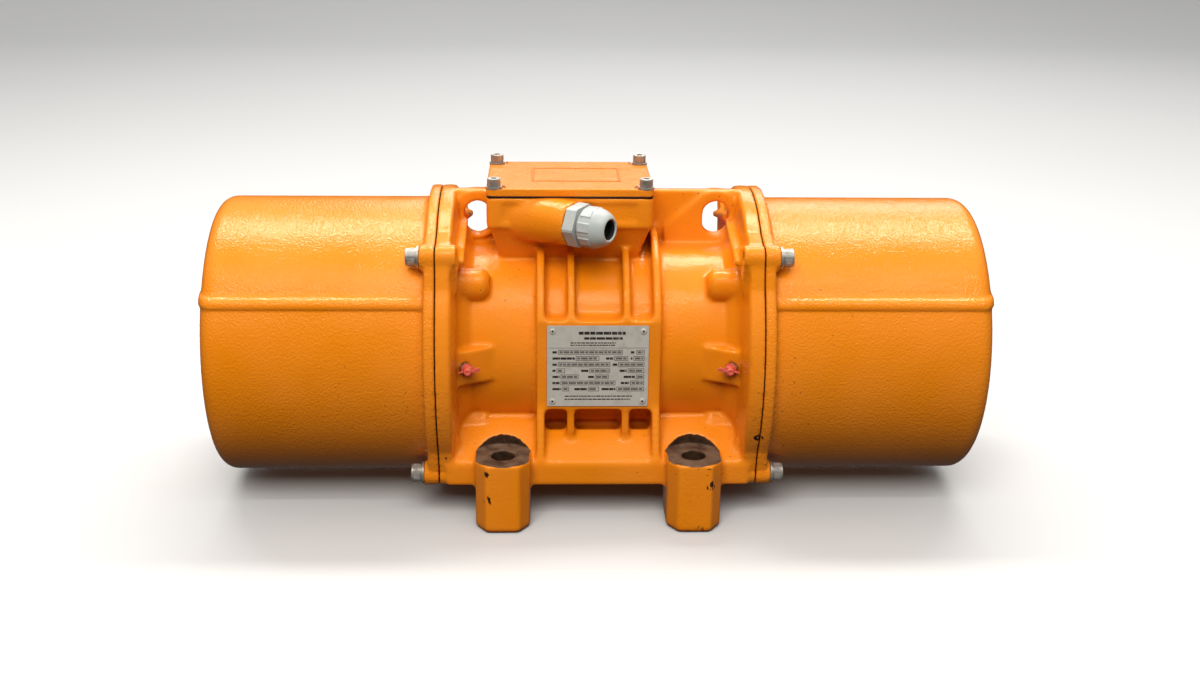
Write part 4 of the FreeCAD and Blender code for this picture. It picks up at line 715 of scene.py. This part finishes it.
def seat_group():
    """Geometry nodes that set one copy of a fastener on each point, facing its way and turned at random."""
    group = bpy.data.node_groups.new("Seat fasteners", "GeometryNodeTree")
    sockets = (
        ("Geometry", "INPUT", "NodeSocketGeometry"),
        ("Fastener", "INPUT", "NodeSocketObject"),
        ("Finish", "INPUT", "NodeSocketMaterial"),
        ("Seed", "INPUT", "NodeSocketInt"),
        ("Geometry", "OUTPUT", "NodeSocketGeometry"),
    )
    for name, way, kind in sockets:
        group.interface.new_socket(name=name, in_out=way, socket_type=kind)
    make = group.nodes.new
    link = group.links.new
    given = make("NodeGroupInput")
    result = make("NodeGroupOutput")
    facing = make("GeometryNodeInputNamedAttribute")
    facing.data_type = "FLOAT_VECTOR"
    facing.inputs["Name"].default_value = "facing"
    aim = make("FunctionNodeAlignRotationToVector")
    aim.axis = "Z"
    turn = make("FunctionNodeRandomValue")
    turn.data_type = "FLOAT"
    spin = make("FunctionNodeAxisAngleToRotation")
    spin.inputs["Axis"].default_value = UP
    both = make("FunctionNodeRotateRotation")
    both.rotation_space = "LOCAL"
    info = make("GeometryNodeObjectInfo")
    info.transform_space = "ORIGINAL"
    seat = make("GeometryNodeInstanceOnPoints")
    real = make("GeometryNodeRealizeInstances")
    coat = make("GeometryNodeSetMaterial")
    turn.inputs[3].default_value = 2 * math.pi
    link(given.outputs["Seed"], turn.inputs["Seed"])
    link(turn.outputs[1], spin.inputs["Angle"])
    link(facing.outputs[0], aim.inputs["Vector"])
    link(aim.outputs[0], both.inputs["Rotation"])
    link(spin.outputs[0], both.inputs["Rotate By"])
    link(given.outputs["Fastener"], info.inputs["Object"])
    link(given.outputs["Geometry"], seat.inputs["Points"])
    link(info.outputs["Geometry"], seat.inputs["Instance"])
    link(both.outputs[0], seat.inputs["Rotation"])
    link(seat.outputs[0], real.inputs[0])
    link(real.outputs[0], coat.inputs["Geometry"])
    link(given.outputs["Finish"], coat.inputs["Material"])
    link(coat.outputs[0], result.inputs[0])
    return group


def seat_copies(name, template, spots, material, seed):
    """One copy of template, a mesh made along +Z, at each (place, facing), as one piece."""
    points = bpy.data.meshes.new(name)
    points.from_pydata([place for place, _ in spots], [], [])
    facing = points.attributes.new("facing", "FLOAT_VECTOR", "POINT")
    for at, (_, way) in enumerate(spots):
        facing.data[at].vector = way
    pattern = holder_of(name + "_pattern", template)
    pattern.hide_render = True
    holder = holder_of(name, points)
    group = bpy.data.node_groups.get("Seat fasteners") or seat_group()
    modifier = holder.modifiers.new("Seat", "NODES")
    modifier.node_group = group
    given = {"Fastener": pattern, "Finish": material, "Seed": seed}
    for item in group.interface.items_tree:
        if item.in_out == "INPUT" and item.name in given:
            modifier[item.identifier] = given[item.name]
    mesh = evaluated_mesh(holder, name)
    bpy.data.objects.remove(pattern)
    return add_piece(name, mesh, material, smooth=False)


def screw_tops(node, axis):
    """Place and direction of each screw's head top along an axis, and the heads' radius."""
    tops = []
    for low, high in solids_of(node):
        centre = (low + high) / 2
        out = axis * math.copysign(1.0, centre.dot(axis))
        half = (high - low) / 2
        tops.append((centre + out * half.dot(axis), out))
        radius = half.x if axis.z else half.z
    return tops, radius


def turned(name, profile, steps=72):
    """A closed profile of (radius, height) turned about +Z."""
    bm = bmesh.new()
    rings = []
    for step in range(steps):
        turn = 2 * math.pi * step / steps
        rings.append([bm.verts.new((r * math.cos(turn), r * math.sin(turn), z)) for r, z in profile])
    for at in range(steps):
        first, second = rings[at], rings[(at + 1) % steps]
        for step in range(len(profile)):
            after = (step + 1) % len(profile)
            bm.faces.new((first[step], second[step], second[after], first[after]))
    return mesh_from(name, bm)


def ridge_ring(radius, start, end, count, proud, share=0.8, flat=0.0):
    """Ridges round a cylinder along +Z: sharp as a screw head's knurl, or flat pads as a hand nut's grips."""
    bm = bmesh.new()
    half = math.pi / count * share
    sunk = 0.3 * proud
    root = radius - sunk
    for at in range(count):
        angle = 2 * math.pi * at / count
        corners = []
        for z, shrink in ((start, 0.0), (start + proud, 1.0), (end - proud, 1.0), (end, 0.0)):
            tip = root + (proud + sunk) * shrink
            crest = ((tip, -half * flat), (tip, half * flat)) if flat else ((tip, 0.0),)
            section = [(r, angle + a) for r, a in ((root, -half), *crest, (root, half))]
            corners.append([bm.verts.new((r * math.cos(a), r * math.sin(a), z)) for r, a in section])
        for low, high in zip(corners, corners[1:]):
            for first in range(len(section)):
                second = (first + 1) % len(section)
                bm.faces.new((low[first], low[second], high[second], high[first]))
        bm.faces.new(corners[0])
        bm.faces.new(corners[-1])
    return mesh_from("ridges", bm)


def cap_loop(name, node, material):
    """Moulded strap of a grease cap: a short tail towards the barrel and a loop on the other side."""
    low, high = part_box(node)
    centre = (low + high) / 2
    side = math.copysign(1.0, centre.x)
    front = low.y + STRAP_INSET
    curve = bpy.data.curves.new(name, "CURVE")
    curve.dimensions = "3D"
    curve.bevel_depth = STRAP_RADIUS
    curve.bevel_resolution = 4
    curve.use_fill_caps = True
    for route in CAP_STRAPS:
        spline = curve.splines.new("NURBS")
        spline.points.add(len(route) - 1)
        for point, (out, rise) in zip(spline.points, route):
            point.co = (centre.x - side * out * MM, front, centre.z + rise * MM, 1.0)
        spline.order_u = 3
        spline.use_endpoint_u = True
    holder = holder_of(name, curve)
    return add_piece(name, evaluated_mesh(holder, name), material)


def plate_marks(settings):
    """Rows of field labels, field frames and stamped values on the nameplate, as raised ink in thin slabs.

    Each mark is (left, right, low, high) in millimetres from the plate's middle, ink by ink.
    """
    chance = random.Random(settings.seed)
    marks = {"printed": [], "stamped": []}

    def words(ink, left, right, low, high, gap):
        at = left
        while at < right - gap:
            end = min(right, at + chance.uniform(1.2, 3.4) * (high - low))
            marks[ink].append((at, end, low, high))
            at = end + gap

    def frame_round(left, right, low, high):
        marks["printed"] += [
            (left, right, low, low + FIELD_LINE), (left, right, high - FIELD_LINE, high),
            (left, left + FIELD_LINE, low, high), (right - FIELD_LINE, right, low, high),
        ]

    for line, fields in enumerate(PLATE_FIELDS):
        high = FIELD_TOP - line * FIELD_PITCH
        low = high - FIELD_TALL
        for left, label_end, right in fields:
            words("printed", left, label_end - 0.8, low + 0.8, high - 0.9, 0.35)
            frame_round(label_end, right, low, high)
            words("stamped", label_end + 1.0, right - 1.0, low + 0.9, high - 0.9, 0.6)
    marks["printed"].append(PLATE_RULE)
    for left, right, low, high in PLATE_LINES:
        words("printed", left, right, low, high, 0.5)
    return marks


def slabs_on_plate(name, marks, material, lift):
    """The marks as thin slabs standing that far out of the nameplate."""
    low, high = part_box("nameplate")
    centre = (low + high) / 2
    bm = bmesh.new()
    for left, right, bottom, top in marks:
        outline = ((left, bottom), (right, bottom), (right, top), (left, top))
        corners = [(centre.x + x * MM, low.y - depth, centre.z + z * MM)
                   for depth in (0.0, lift) for x, z in outline]
        points = [bm.verts.new(corner) for corner in corners]
        for face in ((0, 1, 2, 3), (4, 5, 6, 7), (0, 1, 5, 4), (1, 2, 6, 5), (2, 3, 7, 6), (3, 0, 4, 7)):
            bm.faces.new([points[i] for i in face])
    return add_piece(name, mesh_from(name, bm), material, smooth=False)


def gland_frame():
    """Place and direction of the cable gland, from its bore mount."""
    entry = next(m for m in frame["record"]["mounts"] if m["name"] == "cable_entry")
    return Vector(entry["pos_m"]), Vector(entry["axis"]).normalized()


def spread_along(node, axis, origin):
    """How far the node reaches along an axis from an origin, as (nearest, farthest)."""
    reach = [(vertex.co - origin).dot(axis) for vertex in frame["nodes"][node].data.vertices]
    return min(reach), max(reach)


# ----------------------------------------------------------------- operators
class MOTOR_OT_looks(bpy.types.Operator):
    """Make every finish, and put each on the CAD pieces of its slot"""

    bl_idname = "motor.looks"
    bl_label = "Finishes"
    bl_options = {"REGISTER", "UNDO"}

    def execute(self, context):
        settings = context.scene.motor_finish
        for slot, material in make_looks(settings).items():
            LOOK_NAMES[slot] = material.name
        for part in frame["record"]["subparts"]:
            dress(part["node"], look_of(part["material_slot"]))
        rivets = metal_look("rivet_aluminium", (0.66, 0.64, 0.58), (0.40, 0.37, 0.30), 0.35, metallic=0.3)
        dress("nameplate_rivets", rivets)
        return {"FINISHED"}


class MOTOR_OT_casing(bpy.types.Operator):
    """Give the casing the soft skin of a sand casting"""

    bl_idname = "motor.casing"
    bl_label = "Cast casing"
    bl_options = {"REGISTER", "UNDO"}

    def execute(self, context):
        settings = context.scene.motor_finish
        forms = bmesh.new()
        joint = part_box("casing")[1].x
        for side in (-1, 1):
            lug_flares(forms, side, joint - CASING_LUG_DEPTH, joint)
        mesh = casting_skin("casting_skin", "casing", forms, settings.smoothing, settings)
        skin = add_piece("casting_skin", mesh, look_of("cast_paint"))
        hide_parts("casing")
        return {"FINISHED"}


class MOTOR_OT_covers(bpy.types.Operator):
    """Give the weight covers their soft skin, with the parting bead and the flared lugs"""

    bl_idname = "motor.covers"
    bl_label = "Weight covers"
    bl_options = {"REGISTER", "UNDO"}

    def execute(self, context):
        settings = context.scene.motor_finish
        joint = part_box("casing")[1].x
        for side, end in ((-1, "left"), (1, "right")):
            node = "weight_cover_" + end
            forms = bmesh.new()
            lug_flares(forms, side, joint, joint + COVER_LUG_DEPTH)
            parting_bead(forms, node, side)
            mesh = casting_skin("cover_skin_" + end, node, forms, settings.smoothing // 2, settings)
            skin = add_piece("cover_skin_" + end, mesh, look_of("orange_paint"))
            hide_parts(node)
        return {"FINISHED"}


class MOTOR_OT_fasteners(bpy.types.Operator):
    """Knurl the heads of the cover and lid screws"""

    bl_idname = "motor.fasteners"
    bl_label = "Screw heads"
    bl_options = {"REGISTER", "UNDO"}

    def execute(self, context):
        settings = context.scene.motor_finish
        steps = (("cover_screws", ALONG, 40, 0.14 * MM), ("lid_screws", UP, 34, 0.12 * MM))
        for turn, (node, axis, ridges, proud) in enumerate(steps):
            tops, radius = screw_tops(node, axis)
            tall = 2 * radius / HEAD_ASPECT
            ring = ridge_ring(radius, KNURL_START * tall, KNURL_END * tall, ridges, proud)
            name = node.removesuffix("s") + "_knurls"
            seat_copies(name, ring, tops, look_of("zinc_steel"), settings.seed + turn)
        return {"FINISHED"}


class MOTOR_OT_gland(bpy.types.Operator):
    """Give the cable gland its domed clamping nut with grips, and its dark rubber mouth"""

    bl_idname = "motor.gland"
    bl_label = "Cable gland"
    bl_options = {"REGISTER", "UNDO"}

    def execute(self, context):
        origin, axis = gland_frame()
        near, far = spread_along("gland_nut", axis, origin)
        place = Matrix.Translation(origin + axis * near) @ UP.rotation_difference(axis).to_matrix().to_4x4()
        deep = far - near
        nut = turned("gland_nut_domed", [(r * MM, t * deep) for r, t in GLAND_DOME])
        grips = ridge_ring(GRIP_RADIUS, 0.05 * deep, 0.52 * deep, 8, GRIP_PROUD, GRIP_SHARE, GRIP_SHARE)
        bm = bmesh.new()
        bm.from_mesh(nut)
        bm.from_mesh(grips)
        bmesh.ops.transform(bm, matrix=place, verts=bm.verts)
        bm.to_mesh(nut)
        bm.free()
        piece = add_piece("gland_nut_domed", nut, look_of("gland_plastic"))
        piece.data.set_sharp_from_angle(angle=math.radians(35))
        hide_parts("gland_nut")
        lip = turned("gland_mouth_lip", [(r * MM, t * deep) for r, t in GLAND_LIP])
        lip.transform(place)
        add_piece("gland_mouth_lip", lip, look_of("black_rubber"))
        return {"FINISHED"}


class MOTOR_OT_nameplate(bpy.types.Operator):
    """Print and stamp blank fields on the nameplate"""

    bl_idname = "motor.nameplate"
    bl_label = "Nameplate"
    bl_options = {"REGISTER", "UNDO"}

    def execute(self, context):
        settings = context.scene.motor_finish
        marks = plate_marks(settings)
        # Painted shade: a black disc on each rivet stands for the shade inside its hollow centre.
        hole_shade_spots = []
        for low, high in solids_of("nameplate_rivets"):
            hole_shade_spots.append((Vector(((low.x + high.x) / 2, low.y, (low.z + high.z) / 2)), FRONTWARD))
        hole_shade_disc = turned("rivet_hole_shade_disc", [(r * MM, z * MM) for r, z in RIVET_HOLE_SHADE], 20)
        seat_copies("rivet_pits", hole_shade_disc, hole_shade_spots, look_of("black_rubber"), settings.seed)
        print_ink = ink_look("plate_black_print", (0.020, 0.019, 0.017), 0.5)
        slabs_on_plate("plate_print", marks["printed"], print_ink, 0.05 * MM)
        stamp_ink = ink_look("plate_grey_stamps", (0.13, 0.125, 0.11), 0.45)
        slabs_on_plate("plate_stamps", marks["stamped"], stamp_ink, 0.04 * MM)
        return {"FINISHED"}


class MOTOR_OT_grease_caps(bpy.types.Operator):
    """Add the moulded straps and crowns of the grease caps"""

    bl_idname = "motor.grease_caps"
    bl_label = "Grease caps"
    bl_options = {"REGISTER", "UNDO"}

    def execute(self, context):
        for end in ("left", "right"):
            cap_loop("grease_cap_strap_" + end, "grease_cap_" + end, look_of("cap_red_rubber"))
            low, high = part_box("grease_cap_" + end)
            tip = min(low.y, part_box("grease_nipple_" + end)[0].y)
            crown = turned("grease_cap_crown_" + end, [(r * MM, z * MM) for r, z in CAP_CROWN], 40)
            crown.transform(Matrix.Translation(((low.x + high.x) / 2, tip, (low.z + high.z) / 2))
                            @ Matrix.Rotation(math.radians(90), 4, "X"))
            add_piece("grease_cap_crown_" + end, crown, look_of("cap_red_rubber"))
        return {"FINISHED"}


class MOTOR_OT_studio(bpy.types.Operator):
    """Set up the pale floor, the soft lights and the camera"""

    bl_idname = "motor.studio"
    bl_label = "Studio"
    bl_options = {"REGISTER", "UNDO"}

    def execute(self, context):
        scene = context.scene
        studio = scene.motor_studio
        build_floor()
        build_lights(studio, scene)
        build_camera(studio, scene)
        return {"FINISHED"}


def build_floor():
    """Pale floor that sweeps up into a backdrop behind the motor."""
    bm = bmesh.new()
    profile = [(FLOOR_FRONT, 0.0), (FLOOR_BACK, 0.0)]
    profile += [(FLOOR_BACK + FLOOR_SWEEP * math.sin(turn), FLOOR_SWEEP - FLOOR_SWEEP * math.cos(turn))
                for turn in (math.radians(step * 9) for step in range(1, 11))]
    profile.append((FLOOR_BACK + FLOOR_SWEEP, BACKDROP_TOP))
    rails = [[bm.verts.new((x, y, z)) for y, z in profile] for x in (-FLOOR_HALF, FLOOR_HALF)]
    for at in range(len(profile) - 1):
        bm.faces.new((rails[0][at], rails[1][at], rails[1][at + 1], rails[0][at + 1]))
    mesh = bpy.data.meshes.new("studio_floor")
    bm.to_mesh(mesh)
    bm.free()
    mesh.shade_smooth()
    floor = bpy.data.objects.new("studio_floor", mesh)
    bpy.context.scene.collection.objects.link(floor)
    look = Look("studio_paper")
    look.set(Base_Color=look.mix(look.noise(3, 2.0), (0.60, 0.60, 0.60), (0.62, 0.62, 0.62)), Roughness=0.9)
    mesh.materials.append(look.material)
    floor.visible_diffuse = False
    floor.visible_glossy = False


def add_softbox(name, place, size, power, colour):
    """A rectangular area light that faces the motor."""
    light = bpy.data.lights.new(name, "AREA")
    light.shape = "RECTANGLE"
    light.size, light.size_y = size
    light.energy = power
    light.color = colour
    lamp = bpy.data.objects.new(name, light)
    lamp.location = place
    lamp.rotation_euler = (Vector(LIGHT_TARGET) - Vector(place)).to_track_quat("-Z", "Y").to_euler()
    bpy.context.scene.collection.objects.link(lamp)
    return lamp


def build_lights(studio, scene):
    """Strips over the motor and in front of it, large softboxes before and behind it, and a pale sky."""
    add_softbox("overhead_strip", (0.0, 0.62, 1.75), (2.2, 0.26), studio.key, WARM_LIGHT)
    add_softbox("front_strip", (0.0, -1.1, 1.85), (2.2, 0.10), studio.key * 0.3, WARM_LIGHT)
    front = add_softbox("front_softbox", (-0.3, -2.0, 1.9), (1.6, 1.2), studio.fill, WARM_LIGHT)
    front.visible_glossy = False
    add_softbox("back_softbox", (0.4, 2.4, 1.6), (1.8, 0.8), studio.fill * 0.3, WHITE_LIGHT)
    world = bpy.data.worlds.new("studio_sky")
    world.use_nodes = True
    nodes, links = world.node_tree.nodes, world.node_tree.links
    height = nodes.new("ShaderNodeSeparateXYZ")
    rise = nodes.new("ShaderNodeMapRange")
    links.new(nodes.new("ShaderNodeTexCoord").outputs["Generated"], height.inputs[0])
    links.new(height.outputs["Z"], rise.inputs["Value"])
    low, high = 0.15, 0.9
    spans = (("From Min", low), ("From Max", high), ("To Min", 0.08 * studio.sky), ("To Max", studio.sky))
    for name, value in spans:
        rise.inputs[name].default_value = value
    background = nodes["Background"]
    background.inputs["Color"].default_value = (1.0, 1.0, 1.0, 1.0)
    links.new(rise.outputs[0], background.inputs["Strength"])
    scene.world = world
    scene.view_settings.view_transform = "Standard"


def build_camera(studio, scene):
    """The camera, a little left of the motor's middle and looking down on it."""
    camera = bpy.data.cameras.new("studio_camera")
    camera.lens = studio.lens
    camera.sensor_width = 36.0
    camera.clip_start = 0.05
    camera.clip_end = 50.0
    holder = bpy.data.objects.new("studio_camera", camera)
    yaw, pitch, roll = studio.yaw, studio.pitch, studio.roll
    ahead = Vector((math.sin(yaw) * math.cos(pitch), math.cos(yaw) * math.cos(pitch), -math.sin(pitch)))
    level = Vector((math.cos(yaw), -math.sin(yaw), 0.0))
    above = level.cross(ahead)
    right = level * math.cos(roll) + above * math.sin(roll)
    up = above * math.cos(roll) - level * math.sin(roll)
    turn = Matrix((right, up, -ahead)).transposed()
    holder.matrix_world = Matrix.Translation(studio.eye) @ turn.to_4x4()
    scene.collection.objects.link(holder)
    scene.camera = holder


class MOTOR_PT_panel(bpy.types.Panel):
    """Lists the steps that finish the motor"""

    bl_label = "Vibration motor"
    bl_idname = "MOTOR_PT_panel"
    bl_space_type = "VIEW_3D"
    bl_region_type = "UI"
    bl_category = "Motor"

    def draw(self, context):
        for group in (context.scene.motor_finish, context.scene.motor_studio):
            box = self.layout.box()
            for name in group.bl_rna.properties.keys():
                if name not in {"rna_type", "name"}:
                    box.prop(group, name)
        for step in STEPS:
            self.layout.operator(step.bl_idname)


STEPS = (
    MOTOR_OT_looks, MOTOR_OT_casing, MOTOR_OT_covers, MOTOR_OT_fasteners, MOTOR_OT_gland, MOTOR_OT_nameplate,
    MOTOR_OT_grease_caps, MOTOR_OT_studio,
)
CLASSES = (MotorFinishSettings, StudioSettings, *STEPS, MOTOR_PT_panel)


def register():
    for kind in CLASSES:
        bpy.utils.register_class(kind)
    bpy.types.Scene.motor_finish = bpy.props.PointerProperty(type=MotorFinishSettings)
    bpy.types.Scene.motor_studio = bpy.props.PointerProperty(type=StudioSettings)


def unregister():
    del bpy.types.Scene.motor_studio
    del bpy.types.Scene.motor_finish
    for kind in reversed(CLASSES):
        bpy.utils.unregister_class(kind)


def main():
    """Runs every step in order."""
    register()
    bpy.ops.motor.looks()
    bpy.ops.motor.casing()
    bpy.ops.motor.covers()
    bpy.ops.motor.fasteners()
    bpy.ops.motor.gland()
    bpy.ops.motor.nameplate()
    bpy.ops.motor.grease_caps()
    bpy.ops.motor.studio()


if __name__ == "__main__":
    main()
